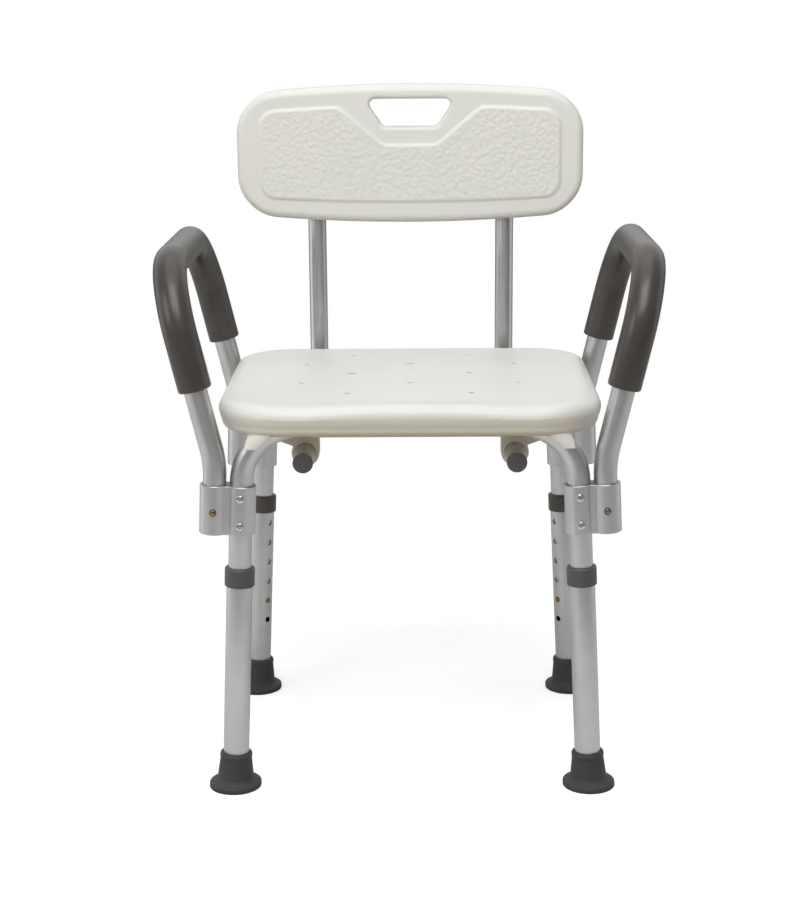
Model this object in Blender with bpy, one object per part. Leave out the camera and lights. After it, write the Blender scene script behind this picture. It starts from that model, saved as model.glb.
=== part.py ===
"""A bath chair: a moulded seat and back on aluminium tubes, with padded arms.

Lengths are in metres. X runs across the chair, Y from its front to its back
and Z up. The origin is on the floor, under the middle of the whole chair.
Sizes in Y are first counted from the middle of the four legs, which the
empty "chair" then carries to its place.
"""

import math
from collections import namedtuple

import bmesh
import bpy
from mathutils import Matrix, Vector

# Clearances
FIT = 0.0003                    # between pieces that seat on or in each other
SLIDE_FIT = 0.0004              # round a tube that slides in another piece
HOLE_FIT = 0.0004               # round a screw's shank or a button's pin

# Stance of the legs
LEG_INSET = 0.01075             # from the seat's side to a leg's axis, at the floor
LEG_SPACING_Y = 0.305           # from the front legs to the rear legs
LEG_LEAN = math.radians(2.65)   # each leg leans inwards as it rises

# Frame tube: two upside-down U frames carry the seat
FRAME_TUBE_R = 0.0127
FRAME_TUBE_WALL = 0.0013
FRAME_BEND_R = 0.0635
FRAME_TUBE_TAIL = 0.0224        # below the button

# Leg extension with its row of height holes
LEG_TUBE_WALL = 0.0012
LEG_TUBE_TOP = 0.2500
SETTING_PITCH = 0.0254
SETTING_COUNT = 6
SETTING_DROP = 0.0280           # from the tube's top to the uppermost hole
SETTING_IN_USE = 4              # the button sits in the fifth hole from above
BUTTON_ANGLE = math.radians(45) # buttons face inwards and to the chair's middle

# Collar on the leg extension
COLLAR_R = 0.0165
COLLAR_SKIRT = 0.0147           # down the outside of the tube
COLLAR_LIP = 0.0060             # above the end of the tube
COLLAR_EDGE_R = 0.0020

# Rubber foot
FOOT_R = 0.0290
FOOT_RIM_HEIGHT = 0.0045
FOOT_SHOULDER_R = 0.0235
FOOT_SHOULDER_HEIGHT = 0.0095
FOOT_NECK_R = 0.0203
FOOT_NECK_HEIGHT = 0.0117
FOOT_TOP_R = 0.0175
FOOT_HEIGHT = 0.0405
FOOT_BEAD_HEIGHT = 0.0060       # round the foot's mouth
FOOT_BEAD = 0.0005
FOOT_FLOOR = 0.0100

# Snap buttons and their spring leaves
BUTTON_R = 0.0031
BUTTON_PROUD = 0.0016
BUTTON_DOME = 0.0010
BUTTON_FOOT = 0.0045            # from the tube's bore in to the pin's end
LEAF_GAP = 0.0025               # between the bore and the leaf
LEAF_THICKNESS = 0.0010
LEAF_WIDTH = 0.0070
LEAF_BELOW = 0.0050
LEAF_ABOVE = 0.0250

# Arm brackets
BRACKET_BOTTOM = 0.2945
BRACKET_HEIGHT = 0.0540
BRACKET_WALL = 0.0030
BRACKET_WEB_HALF = 0.0115
BRACKET_LAND = 0.0149           # flat for the screw heads, from the leg axis
SOCKET_OFFSET = 0.0290          # from the leg axis to the arm socket
ARM_BUTTON_RISE = 0.0255        # above the bracket's lower end
BRACKET_SCREW_RISES = (0.0107, 0.0415)

# Pan head screws
SCREW_HEAD_R = 0.0045
SCREW_HEAD_HEIGHT = 0.0025
SCREW_R = 0.0020
SCREW_REACH = 0.0040            # inside the frame tube, beyond its wall

# Armrests
ARM_TUBE_R = 0.0127
ARM_TUBE_WALL = 0.0013
ARM_TUBE_INSET = 0.0085         # from the socket's lower end to the tube's
ARM_BEND_RISE = 0.0235          # from the socket's upper end to the low bend
ARM_LOW_BEND_R = 0.1140
ARM_LEAN = math.radians(15.8)   # outwards, from the socket's axis
ARM_RISE = 0.2135               # from the low bend to the top run
ARM_TOP_BEND_R = 0.0756
SLEEVE_WALL = 0.0053
SLEEVE_START = 0.0820           # above the low bend
SLEEVE_END_EDGE = 0.0020

# Seat
SEAT_WIDTH = 0.417
SEAT_FRONT_REACH = 0.0225       # ahead of the front leg axes
SEAT_REAR_REACH = 0.0195        # behind the rear leg axes
SEAT_TOP = 0.4380
SEAT_THICKNESS = 0.0350
SEAT_FRONT_CORNER_R = 0.0700
SEAT_REAR_CORNER_R = 0.0660
SEAT_TOP_EDGE_R = 0.0130
SEAT_BOTTOM_EDGE_R = 0.0100
SEAT_DISH = 0.0020
SEAT_DISH_WIDTH = 0.0300
SEAT_ROOF = 0.0120              # plastic above the frame tube
THIGH_DIP = 0.0030
THIGH_INSET = 0.0885            # from the seat's side to the middle of each dip
THIGH_WIDTH = 0.0500
SADDLE_DROP = 0.0130            # ears that hang before and behind each bent tube
SADDLE_WALL = 0.0016
SADDLE_INSET = 0.0290           # inwards, from the corner of the frame
SADDLE_LENGTH = 0.0240
SADDLE_TAPER = 0.0144           # its inner edge slopes outwards by this much
SADDLE_FLARE = 0.0030           # and its outer edge by this much
DRAIN_R = 0.0037
DRAIN_COLUMNS = (0.068, 0.122)
DRAIN_PITCH_Y = 0.1120
DRAIN_MIDDLE_Y = 0.0200
SEAT_SCREW_X = 0.0600           # the rear frame's two screws
SEAT_SCREW_TIP = 0.0060         # below the seat's top

# Bosses under the seat for the back tubes
BOSS_WALL = 0.0038
BOSS_LENGTH = 0.0200
BOSS_FRONT_GAP = 0.0625         # from the front leg axes to the front bosses
BOSS_REAR_GAP = 0.0475          # from the rear leg axes to the rear bosses
BOSS_WEB_KNEE = 0.0305          # outwards, from the tube's axis
BOSS_WEB_RISE = 0.0140          # of the knee above the tube's axis
BOSS_WEB_FOOT = 0.0370          # outwards, where the web meets the seat

# Back tubes
BACK_TUBE_R = 0.0111
BACK_TUBE_WALL = 0.0012
BACK_TUBE_X = 0.1155
BACK_RUN_DROP = 0.0192          # clear height between frame and back tube
BACK_TUBE_REACH = 0.0595        # from the rear leg axes to the upright part
BACK_TUBE_INSET = 0.0070        # from the front leg axes to the open end
BACK_BEND_R = 0.0600
BACK_TUBE_SINK = 0.0160         # from the panel's top to the tube's end
CAP_HEAD = 0.0030
CAP_STEM = 0.0150

# Back panel
PANEL_WIDTH = 0.420
PANEL_BOTTOM = 0.6010
PANEL_HEIGHT = 0.1430
PANEL_CROWN = 0.0120            # upper and lower edges swell at the middle
PANEL_CORNER_R = 0.0460
PANEL_FRONT = 0.0240            # ahead of the back tubes' axes
PANEL_THICKNESS = 0.0260
PANEL_EDGE_R = 0.0090
PANEL_REAR_EDGE_R = 0.0040
PANEL_CURVE = 0.0060            # the ends come forward by this much
PANEL_SCREW_RISES = (0.0290, 0.0990)
PANEL_SCREW_TIP = 0.0060        # behind the panel's front face
FIELD_RISE = 0.0015             # the field stands proud of the border
FIELD_EDGE = 0.0015
FIELD_SIDE_INSET = 0.0280
FIELD_TOP_INSET = 0.0220
FIELD_BOTTOM_INSET = 0.0220
FIELD_CORNER_R = 0.0160
HANDLE_DROP = 0.0178            # from the panel's top to the handle hole
HANDLE_HEIGHT = 0.0332
HANDLE_TOP_HALF = 0.0555
HANDLE_BOTTOM_HALF = 0.0325
HANDLE_CORNER_R = 0.0070
NOTCH_RIM = 0.0230              # plain border between the handle and the field
NOTCH_SLOPE_WIDTH = 0.0540

# Facets
TUBE_SIDES = 12
FOOT_SIDES = 16
PIN_SIDES = 8
TURN_STEP = math.radians(22.5)   # along a bend or a rounded corner
PANEL_STRIPS = 8

# Sizes that follow from the ones above
LEG_SPACING_X = SEAT_WIDTH - 2 * LEG_INSET
THIGH_X = SEAT_WIDTH / 2 - THIGH_INSET
LEG_TUBE_R = FRAME_TUBE_R + SLIDE_FIT + LEG_TUBE_WALL
BRACKET_R = FRAME_TUBE_R + FIT + BRACKET_WALL
SLEEVE_R = ARM_TUBE_R + FIT + SLEEVE_WALL
FRONT_LEG_Y, REAR_LEG_Y = -LEG_SPACING_Y / 2, LEG_SPACING_Y / 2
SEAT_BOTTOM = SEAT_TOP - SEAT_THICKNESS
SEAT_FRONT_Y, SEAT_REAR_Y = FRONT_LEG_Y - SEAT_FRONT_REACH, REAR_LEG_Y + SEAT_REAR_REACH
SEAT_ROOT = SEAT_BOTTOM + SEAT_BOTTOM_EDGE_R
SEAT_SCREW_END = SEAT_TOP - SEAT_SCREW_TIP
FRAME_RUN_Z = SEAT_TOP - SEAT_ROOF - FIT - FRAME_TUBE_R
FRAME_CORNER_X = LEG_SPACING_X / 2 - FRAME_RUN_Z * math.tan(LEG_LEAN)
COLLAR_BOTTOM = LEG_TUBE_TOP - COLLAR_SKIRT
SETTING_TOP = LEG_TUBE_TOP - SETTING_DROP
BUTTON_HEIGHT = SETTING_TOP - SETTING_IN_USE * SETTING_PITCH
FRAME_TUBE_END = BUTTON_HEIGHT - FRAME_TUBE_TAIL
BRACKET_TOP = BRACKET_BOTTOM + BRACKET_HEIGHT
BRACKET_SCREW_DEPTH = BRACKET_LAND - FRAME_TUBE_R + FRAME_TUBE_WALL + SCREW_REACH
BRACKET_SCREW_HEIGHTS = [BRACKET_BOTTOM + rise for rise in BRACKET_SCREW_RISES]
ARM_BUTTON_HEIGHT = BRACKET_BOTTOM + ARM_BUTTON_RISE
ARM_TUBE_END = BRACKET_BOTTOM + ARM_TUBE_INSET
ARM_LOW_BEND = BRACKET_TOP + ARM_BEND_RISE
BOSS_R = BACK_TUBE_R + SLIDE_FIT + BOSS_WALL
BOSS_PLACES = (FRONT_LEG_Y + BOSS_FRONT_GAP, REAR_LEG_Y - BOSS_REAR_GAP)
BACK_RUN_Z = FRAME_RUN_Z - FRAME_TUBE_R - BACK_RUN_DROP - BACK_TUBE_R
BACK_TUBE_Y = REAR_LEG_Y + BACK_TUBE_REACH
BACK_TUBE_FRONT = FRONT_LEG_Y + BACK_TUBE_INSET
PANEL_TOP = PANEL_BOTTOM + PANEL_HEIGHT
PANEL_SCREW_HEIGHTS = [PANEL_BOTTOM + rise for rise in PANEL_SCREW_RISES]
BACK_TUBE_TOP = PANEL_TOP - BACK_TUBE_SINK
HANDLE_TOP = PANEL_TOP + PANEL_CROWN - HANDLE_DROP
HANDLE_BOTTOM = HANDLE_TOP - HANDLE_HEIGHT
FRONT_REACH = max(FOOT_R - FRONT_LEG_Y, -SEAT_FRONT_Y, CAP_HEAD - BACK_TUBE_FRONT)
REAR_REACH = BACK_TUBE_Y + BACK_TUBE_R + FIT + SCREW_HEAD_HEIGHT
CHAIR_Y = (FRONT_REACH - REAR_REACH) / 2

Corner = namedtuple("Corner", "name side end y")
SIDES = (("left", -1), ("right", 1))
ENDS = (("front", -1, FRONT_LEG_Y), ("rear", 1, REAR_LEG_Y))
CORNERS = [Corner(f"{end_name}_{side_name}", side, end, y)
           for end_name, end, y in ENDS for side_name, side in SIDES]


def clear_scene():
    for old in list(bpy.data.objects):
        bpy.data.objects.remove(old, do_unlink=True)


def material(name, colour, roughness, metallic=0.0):
    """A Principled finish; the colour is given as linear red, green and blue."""
    made = bpy.data.materials.new(name)
    made.use_nodes = True
    shader = made.node_tree.nodes["Principled BSDF"]
    shader.inputs["Base Color"].default_value = (*colour, 1.0)
    shader.inputs["Roughness"].default_value = roughness
    shader.inputs["Metallic"].default_value = metallic
    return made


def empty(name, matrix, parent=None):
    made = bpy.data.objects.new(name, None)
    bpy.context.scene.collection.objects.link(made)
    made.parent = parent
    made.matrix_local = matrix
    return made


def add_object(name, bm, finish=None, parent=None, smooth=46.0):
    """Turn a bmesh into an object of the scene, under its parent."""
    bmesh.ops.remove_doubles(bm, verts=bm.verts, dist=1e-6)
    bmesh.ops.recalc_face_normals(bm, faces=bm.faces)
    mesh = bpy.data.meshes.new(name)
    bm.to_mesh(mesh)
    bm.free()
    mesh.shade_smooth()
    mesh.set_sharp_from_angle(angle=math.radians(smooth))
    made = bpy.data.objects.new(name, mesh)
    bpy.context.scene.collection.objects.link(made)
    made.parent = parent
    if finish:
        own = finish.copy()
        own.name = f"{name}_{finish.name}"
        mesh.materials.append(own)
    return made


def boolean(target, tool, operation="DIFFERENCE"):
    """Cut the tool from the target, or join it on, and hide the tool."""
    step = target.modifiers.new(tool.name, "BOOLEAN")
    step.operation = operation
    step.solver = "EXACT"
    step.object = tool
    tool.hide_render = True
    tool.display_type = "WIRE"


def rounded(points, radii, closed=False):
    """The points of a polyline with its corners rounded to the given radii."""
    corners = [Vector(p) for p in points]
    path = []
    for i, corner in enumerate(corners):
        is_end = not closed and i in (0, len(corners) - 1)
        if is_end or radii[i] <= 0:
            path.append(corner)
            continue
        back = (corners[i - 1] - corner).normalized()
        ahead = (corners[(i + 1) % len(corners)] - corner).normalized()
        half = back.angle(ahead) / 2
        centre = corner + (back + ahead).normalized() * (radii[i] / math.sin(half))
        first = (corner + back * (radii[i] / math.tan(half)) - centre).normalized()
        last = (corner + ahead * (radii[i] / math.tan(half)) - centre).normalized()
        across = (last - first * last.dot(first)).normalized()
        steps = max(1, round((math.pi - 2 * half) / TURN_STEP))
        for k in range(steps + 1):
            turn = (math.pi - 2 * half) * k / steps
            path.append(centre + (first * math.cos(turn) + across * math.sin(turn)) * radii[i])
    return path


def ring(centre, axis, side, radius, count):
    """Points of a circle round an axis, with its first point towards a side."""
    across = (side - axis * side.dot(axis)).normalized()
    up = axis.cross(across)
    turns = [2 * math.pi * k / count for k in range(count)]
    return [centre + (across * math.cos(t) + up * math.sin(t)) * radius for t in turns]


def tangents(path):
    """The direction of a path at each of its points."""
    steps = [(b - a).normalized() for a, b in zip(path, path[1:])]
    return [(a + b).normalized() for a, b in zip([steps[0]] + steps, steps + [steps[-1]])]


def loft(bm, rings, closed=False, caps=True):
    """Skin a row of rings, either capped at both ends or closed on itself."""
    loops = [[bm.verts.new(point) for point in points] for points in rings]
    pairs = list(zip(loops, loops[1:]))
    if closed:
        pairs.append((loops[-1], loops[0]))
    for low, high in pairs:
        for i in range(len(low)):
            j = (i + 1) % len(low)
            bm.faces.new((low[i], low[j], high[j], high[i]))
    if caps and not closed:
        bm.faces.new(loops[0][::-1])
        bm.faces.new(loops[-1])


def rings_along(path, radii, side):
    """Rings square to a path, one radius for each of its points."""
    return [ring(p, t, side, r, TUBE_SIDES) for p, t, r in zip(path, tangents(path), radii)]


def tube(path, outer, inner, side):
    """A hollow tube along a path, open at both ends."""
    bm = bmesh.new()
    count = len(path)
    skin, bore = (rings_along(path, [radius] * count, side) for radius in (outer, inner))
    loft(bm, skin + bore[::-1], closed=True)
    return bm


def arc(centre_x, radius, first, last):
    """Points of an arc in X and Y, spaced like a tube's facets."""
    steps = max(1, round(abs(last - first) * TUBE_SIDES / (2 * math.pi)))
    turns = [first + (last - first) * k / steps for k in range(steps + 1)]
    return [(centre_x + radius * math.cos(t), radius * math.sin(t)) for t in turns]


def rod(bm, start, end, radius, sides=PIN_SIDES):
    """A solid round bar between two points."""
    start, end = Vector(start), Vector(end)
    axis = (end - start).normalized()
    side = Vector((0, 0, 1)) if abs(axis.z) < 0.9 else Vector((1, 0, 0))
    loft(bm, [ring(p, axis, side, radius, sides) for p in (start, end)])


def turned(bm, profile, axis, side, sides=PIN_SIDES, origin=Vector()):
    """A solid of revolution; the profile lists distance along the axis and radius."""
    loft(bm, [ring(origin + axis * d, axis, side, max(r, 0.0), sides) for d, r in profile])


def prism(bm, outline, start, end):
    """A flat outline in X and Z, drawn from one Y to another."""
    loft(bm, [[Vector((p[0], y, p[1])) for p in outline] for y in (start, end)])


def leg_matrix(corner):
    """Where a leg stands: its origin on the floor and its Z along the leg."""
    place = Vector((corner.side * LEG_SPACING_X / 2, corner.y, 0))
    return Matrix.Translation(place) @ Matrix.Rotation(-corner.side * LEG_LEAN, 4, "Y")


def button_way(corner):
    """The way a leg's button and holes face, square to the leg."""
    return Vector((-corner.side * math.cos(BUTTON_ANGLE), -corner.end * math.sin(BUTTON_ANGLE), 0))


def frame_path():
    """The centre line of one leg frame, from the right leg to the left leg."""
    half = LEG_SPACING_X / 2
    low = (half - FRAME_TUBE_END * math.sin(LEG_LEAN), 0, FRAME_TUBE_END * math.cos(LEG_LEAN))
    points = [low, (FRAME_CORNER_X, 0, FRAME_RUN_Z), (-FRAME_CORNER_X, 0, FRAME_RUN_Z), (-low[0], 0, low[2])]
    return rounded(points, (0, FRAME_BEND_R, FRAME_BEND_R, 0))


def leg_frame(end_name, end, y, chair, finish):
    """One upside-down U of tube, with holes for buttons and screws."""
    name = f"{end_name}_leg_frame"
    place = empty(f"{name}_place", Matrix.Translation((0, y, 0)), chair)
    bm = tube(frame_path(), FRAME_TUBE_R, FRAME_TUBE_R - FRAME_TUBE_WALL, Vector((0, 1, 0)))
    frame = add_object(name, bm, finish, place)
    cuts = bmesh.new()
    for corner in (c for c in CORNERS if c.end == end):
        to_frame = Matrix.Translation((0, -y, 0)) @ leg_matrix(corner)
        ways = [(BUTTON_HEIGHT, button_way(corner), BUTTON_R)]
        ways += [(h, Vector((0, end, 0)), SCREW_R) for h in BRACKET_SCREW_HEIGHTS]
        for height, way, radius in ways:
            start = Vector((0, 0, height)) + way * (FRAME_TUBE_R / 2)
            rod(cuts, to_frame @ start, to_frame @ (start + way * FRAME_TUBE_R), radius + HOLE_FIT)
        if y == REAR_LEG_Y:
            x = corner.side * SEAT_SCREW_X
            rod(cuts, (x, 0, FRAME_RUN_Z - 2 * FRAME_TUBE_R), (x, 0, SEAT_TOP), SCREW_R + HOLE_FIT)
    boolean(frame, add_object(f"{name}_holes", cuts, parent=place))


def leg_extension(corner, axis, finish):
    """The lower leg tube, with its row of height holes."""
    path = [Vector((0, 0, FOOT_FLOOR + FIT)), Vector((0, 0, LEG_TUBE_TOP))]
    bm = tube(path, LEG_TUBE_R, LEG_TUBE_R - LEG_TUBE_WALL, Vector((1, 0, 0)))
    leg = add_object(f"leg_extension_{corner.name}", bm, finish, axis)
    cuts = bmesh.new()
    for k in range(SETTING_COUNT):
        start = Vector((0, 0, SETTING_TOP - k * SETTING_PITCH)) + button_way(corner) * (LEG_TUBE_R / 2)
        rod(cuts, start, start + button_way(corner) * LEG_TUBE_R, BUTTON_R + HOLE_FIT)
    boolean(leg, add_object(f"leg_holes_{corner.name}", cuts, parent=axis))


def leg_collar(corner, axis, finish):
    """A plastic ring that caps the leg extension and guides the frame tube."""
    top, edge = LEG_TUBE_TOP + COLLAR_LIP, COLLAR_EDGE_R
    wide, tight = LEG_TUBE_R + FIT, FRAME_TUBE_R + SLIDE_FIT
    step = LEG_TUBE_TOP + FIT
    profile = [(wide, COLLAR_BOTTOM), (COLLAR_R, COLLAR_BOTTOM), (COLLAR_R, top - edge),
               (COLLAR_R - edge, top), (tight, top), (tight, step), (wide, step)]
    bm = bmesh.new()
    up, side = Vector((0, 0, 1)), Vector((1, 0, 0))
    loft(bm, [ring(up * z, up, side, r, TUBE_SIDES) for r, z in profile], closed=True)
    add_object(f"leg_collar_{corner.name}", bm, finish, axis)


def leg_foot(corner, axis, finish):
    """A rubber foot: its sole is level and its neck follows the leaning leg."""
    bore, mouth = LEG_TUBE_R + FIT, FOOT_HEIGHT - FOOT_BEAD_HEIGHT
    profile = [(0, 0), (FOOT_R, 0), (FOOT_R, FOOT_RIM_HEIGHT),
               (FOOT_SHOULDER_R, FOOT_SHOULDER_HEIGHT), (FOOT_NECK_R, FOOT_NECK_HEIGHT),
               (FOOT_TOP_R, mouth), (FOOT_TOP_R + FOOT_BEAD, (mouth + FOOT_HEIGHT) / 2),
               (FOOT_TOP_R - FOOT_BEAD, FOOT_HEIGHT), (bore, FOOT_HEIGHT), (bore, FOOT_FLOOR), (0, FOOT_FLOOR)]
    rings = []
    for radius, height in profile:
        lean = min(max((height - FOOT_RIM_HEIGHT) / (FOOT_FLOOR - FOOT_RIM_HEIGHT), 0), 1)
        level = Matrix.Rotation(corner.side * LEG_LEAN * (1 - lean), 3, "Y")
        flat = ring(Vector(), Vector((0, 0, 1)), Vector((1, 0, 0)), radius, FOOT_SIDES)
        rings.append([level @ p + Vector((0, 0, height)) for p in flat])
    bm = bmesh.new()
    loft(bm, rings, caps=False)
    add_object(f"leg_foot_{corner.name}", bm, finish, axis)


def snap_button(name, bore, surface, way, along, parent, place, finish):
    """A brass pin on a spring leaf; it stands proud of the surface that it locks."""
    axis = empty(f"{name}_axis", Matrix.Translation(place), parent)
    reach = surface + BUTTON_PROUD
    bm = bmesh.new()
    turned(bm, [(bore - BUTTON_FOOT, BUTTON_R), (reach - BUTTON_DOME, BUTTON_R), (reach, BUTTON_R / 2)],
           way, along)
    button = add_object(name, bm, finish, axis)
    leaf = bmesh.new()
    width = way.cross(along) * (LEAF_WIDTH / 2)
    outer = way * (bore - LEAF_GAP)
    inner = outer - way * LEAF_THICKNESS
    loft(leaf, [[base + inner - width, base + inner + width, base + outer + width, base + outer - width]
                for base in (along * -LEAF_BELOW, along * LEAF_ABOVE)])
    boolean(button, add_object(f"{name}_leaf", leaf, parent=axis), "UNION")


def screw(name, seat, depth, way, parent, finish):
    """A pan head screw; its head rests at the seat and it points against the way."""
    top = FIT + SCREW_HEAD_HEIGHT
    profile = [(-depth, SCREW_R), (FIT, SCREW_R), (FIT, SCREW_HEAD_R), (top, SCREW_HEAD_R * 0.7)]
    bm = bmesh.new()
    turned(bm, profile, way, Vector((1, 0, 0)), origin=Vector(seat))
    add_object(name, bm, finish, parent)


def bracket_outline(corner):
    """Two rings joined by a web; the leg's ring has a flat for the screw heads."""
    web, land = math.asin(BRACKET_WEB_HALF / BRACKET_R), math.asin(BRACKET_LAND / BRACKET_R)
    outline = arc(0, BRACKET_R, web, land) + arc(0, BRACKET_R, math.pi - land, 2 * math.pi - web)
    outline += arc(SOCKET_OFFSET, BRACKET_R, math.pi + web, 3 * math.pi - web)
    return [(corner.side * x, corner.end * y) for x, y in outline]


def arm_bracket(corner, axis, finish):
    """An extruded bracket that holds the arm's socket beside the leg."""
    bm = bmesh.new()
    outline = bracket_outline(corner)
    loft(bm, [[Vector((x, y, z)) for x, y in outline] for z in (BRACKET_BOTTOM, BRACKET_TOP)])
    bracket = add_object(f"arm_bracket_{corner.name}", bm, finish, axis)
    socket = corner.side * SOCKET_OFFSET
    bores = bmesh.new()
    for x, radius in ((0, FRAME_TUBE_R + FIT), (socket, ARM_TUBE_R + SLIDE_FIT)):
        ends = [(x, 0, z) for z in (BRACKET_BOTTOM - BRACKET_WALL, BRACKET_TOP + BRACKET_WALL)]
        rod(bores, *ends, radius, TUBE_SIDES)
    boolean(bracket, add_object(f"arm_bracket_bores_{corner.name}", bores, parent=axis))
    cuts = bmesh.new()
    near, far = corner.end * BRACKET_R / 2, corner.end * BRACKET_R * 2
    for height in BRACKET_SCREW_HEIGHTS:
        rod(cuts, (0, near, height), (0, far, height), SCREW_R + HOLE_FIT)
    rod(cuts, (socket, near, ARM_BUTTON_HEIGHT), (socket, far, ARM_BUTTON_HEIGHT), BUTTON_R + 2 * HOLE_FIT)
    boolean(bracket, add_object(f"arm_bracket_holes_{corner.name}", cuts, parent=axis))


def arm_path(side, starts, bends):
    """The centre line of an arm, from the front socket over the top to the rear one.

    Starts are distances up the leaning part from the low bend; a negative one
    goes straight down the socket instead.
    """
    x = side * SOCKET_OFFSET
    lean = Vector((side * math.sin(ARM_LEAN), 0, math.cos(ARM_LEAN)))
    low = Vector((x, 0, ARM_LOW_BEND))
    line = [low + lean * start if start >= 0 else low + Vector((0, 0, start)) for start in starts]
    front = [p + Vector((0, FRONT_LEG_Y, 0)) for p in line]
    rear = [p + Vector((0, REAR_LEG_Y, 0)) for p in line]
    return rounded(front + rear[::-1], (0, *bends, *bends[::-1], 0))


def armrest(side_name, side, chair, tube_finish, pad_finish, button_finish):
    """One arm: a bent tube, its foam sleeve and the two buttons that lock it."""
    lean = Matrix.Rotation(-side * LEG_LEAN, 4, "Y")
    axis = empty(f"armrest_axis_{side_name}", Matrix.Translation((side * LEG_SPACING_X / 2, 0, 0)) @ lean, chair)
    normal = Vector((side * math.cos(ARM_LEAN), 0, -math.sin(ARM_LEAN)))
    bore = ARM_TUBE_R - ARM_TUBE_WALL
    path = arm_path(side, (ARM_TUBE_END - ARM_LOW_BEND, 0, ARM_RISE), (ARM_LOW_BEND_R, ARM_TOP_BEND_R))
    arm = add_object(f"armrest_tube_{side_name}", tube(path, ARM_TUBE_R, bore, normal), tube_finish, axis)
    cuts = bmesh.new()
    for end_name, end, y in ENDS:
        way = Vector((0, end, 0))
        place = Vector((side * SOCKET_OFFSET, y, ARM_BUTTON_HEIGHT))
        rod(cuts, place + way * (ARM_TUBE_R / 2), place + way * (ARM_TUBE_R * 1.5), BUTTON_R + HOLE_FIT)
        snap_button(f"arm_button_{end_name}_{side_name}", bore, BRACKET_R, way, Vector((0, 0, 1)), axis, place,
                    button_finish)
    boolean(arm, add_object(f"armrest_holes_{side_name}", cuts, parent=axis))

    path = arm_path(side, (SLEEVE_START, ARM_RISE), (ARM_TOP_BEND_R,))
    first = (path[1] - path[0]).normalized() * SLEEVE_END_EDGE
    last = (path[-2] - path[-1]).normalized() * SLEEVE_END_EDGE
    full = [path[0], path[0] + first, *path[1:-1], path[-1] + last, path[-1]]
    narrow = SLEEVE_R - SLEEVE_END_EDGE
    skin = rings_along(full, [narrow, *[SLEEVE_R] * len(path), narrow], normal)
    hollow = rings_along(path, [ARM_TUBE_R + FIT] * len(path), normal)
    bm = bmesh.new()
    loft(bm, skin + hollow[::-1], closed=True)
    add_object(f"armrest_sleeve_{side_name}", bm, pad_finish, axis)


def seat_outline(inset):
    """The seat's plan at a distance inside its edge, as points in X and Y."""
    half = SEAT_WIDTH / 2 - inset
    front, rear = SEAT_FRONT_Y + inset, SEAT_REAR_Y - inset
    fronts = [(x, front, 0) for x in (-THIGH_X, -THIGH_X / 2, 0, THIGH_X / 2, THIGH_X)]
    points = [(-half, front, 0), *fronts, (half, front, 0), (half, rear, 0), (-half, rear, 0)]
    front_r, rear_r = SEAT_FRONT_CORNER_R - inset, SEAT_REAR_CORNER_R - inset
    return rounded(points, (front_r, *[0] * len(fronts), front_r, rear_r, rear_r), closed=True)


def thigh_dip(x, y):
    """How much the seat's front edge drops where the thighs rest."""
    across = math.exp(-((abs(x) - THIGH_X) / THIGH_WIDTH) ** 2)
    ahead = min(max((y - SEAT_FRONT_Y) / -SEAT_FRONT_Y, 0), 1)
    return THIGH_DIP * across * (1 - ahead) ** 4


def seat_slab():
    """The seat's body, with rounded edges and a shallow dish on top."""
    rings = []
    low, high = SEAT_BOTTOM_EDGE_R, SEAT_TOP_EDGE_R
    profile = [(low * (1 - math.sin(a)), SEAT_BOTTOM + low * (1 - math.cos(a)))
               for a in (0, math.pi / 4, math.pi / 2)]
    profile += [(high * (1 - math.cos(a)), SEAT_TOP - high * (1 - math.sin(a)))
                for a in (0, math.pi / 6, math.pi / 3, math.pi / 2)]
    for inset, z in profile:
        drop = 1 if z > SEAT_TOP - high else 0
        rings.append([Vector((p.x, p.y, z - drop * thigh_dip(p.x, p.y))) for p in seat_outline(inset)])
    inner = seat_outline(high + SEAT_DISH_WIDTH)
    rings.append([Vector((p.x, p.y, SEAT_TOP - SEAT_DISH)) for p in inner])
    bm = bmesh.new()
    loft(bm, rings)
    return bm


def boss_outline(side):
    """A ring round the back tube with a web that slopes up and outwards."""
    turns = [math.radians(180 + 30 * k) for k in range(8)]
    points = [(-BOSS_R, SEAT_ROOT)]
    points += [(BOSS_R * math.cos(t), BACK_RUN_Z + BOSS_R * math.sin(t)) for t in turns]
    points += [(BOSS_WEB_KNEE, BACK_RUN_Z + BOSS_WEB_RISE), (BOSS_WEB_FOOT, SEAT_ROOT)]
    return [(side * (BACK_TUBE_X + x), z) for x, z in points]


def saddle_outline(side):
    """The front view of an ear, which hangs from the seat and clips round a frame's bend."""
    inner = FRAME_CORNER_X - SADDLE_INSET
    outer, low = inner + SADDLE_LENGTH, SEAT_BOTTOM - SADDLE_DROP
    points = [(inner, SEAT_ROOT), (inner, SEAT_BOTTOM), (inner + SADDLE_TAPER, low),
              (outer + SADDLE_FLARE, low), (outer, SEAT_BOTTOM), (outer, SEAT_ROOT)]
    return [(side * x, z) for x, z in points]


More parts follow.
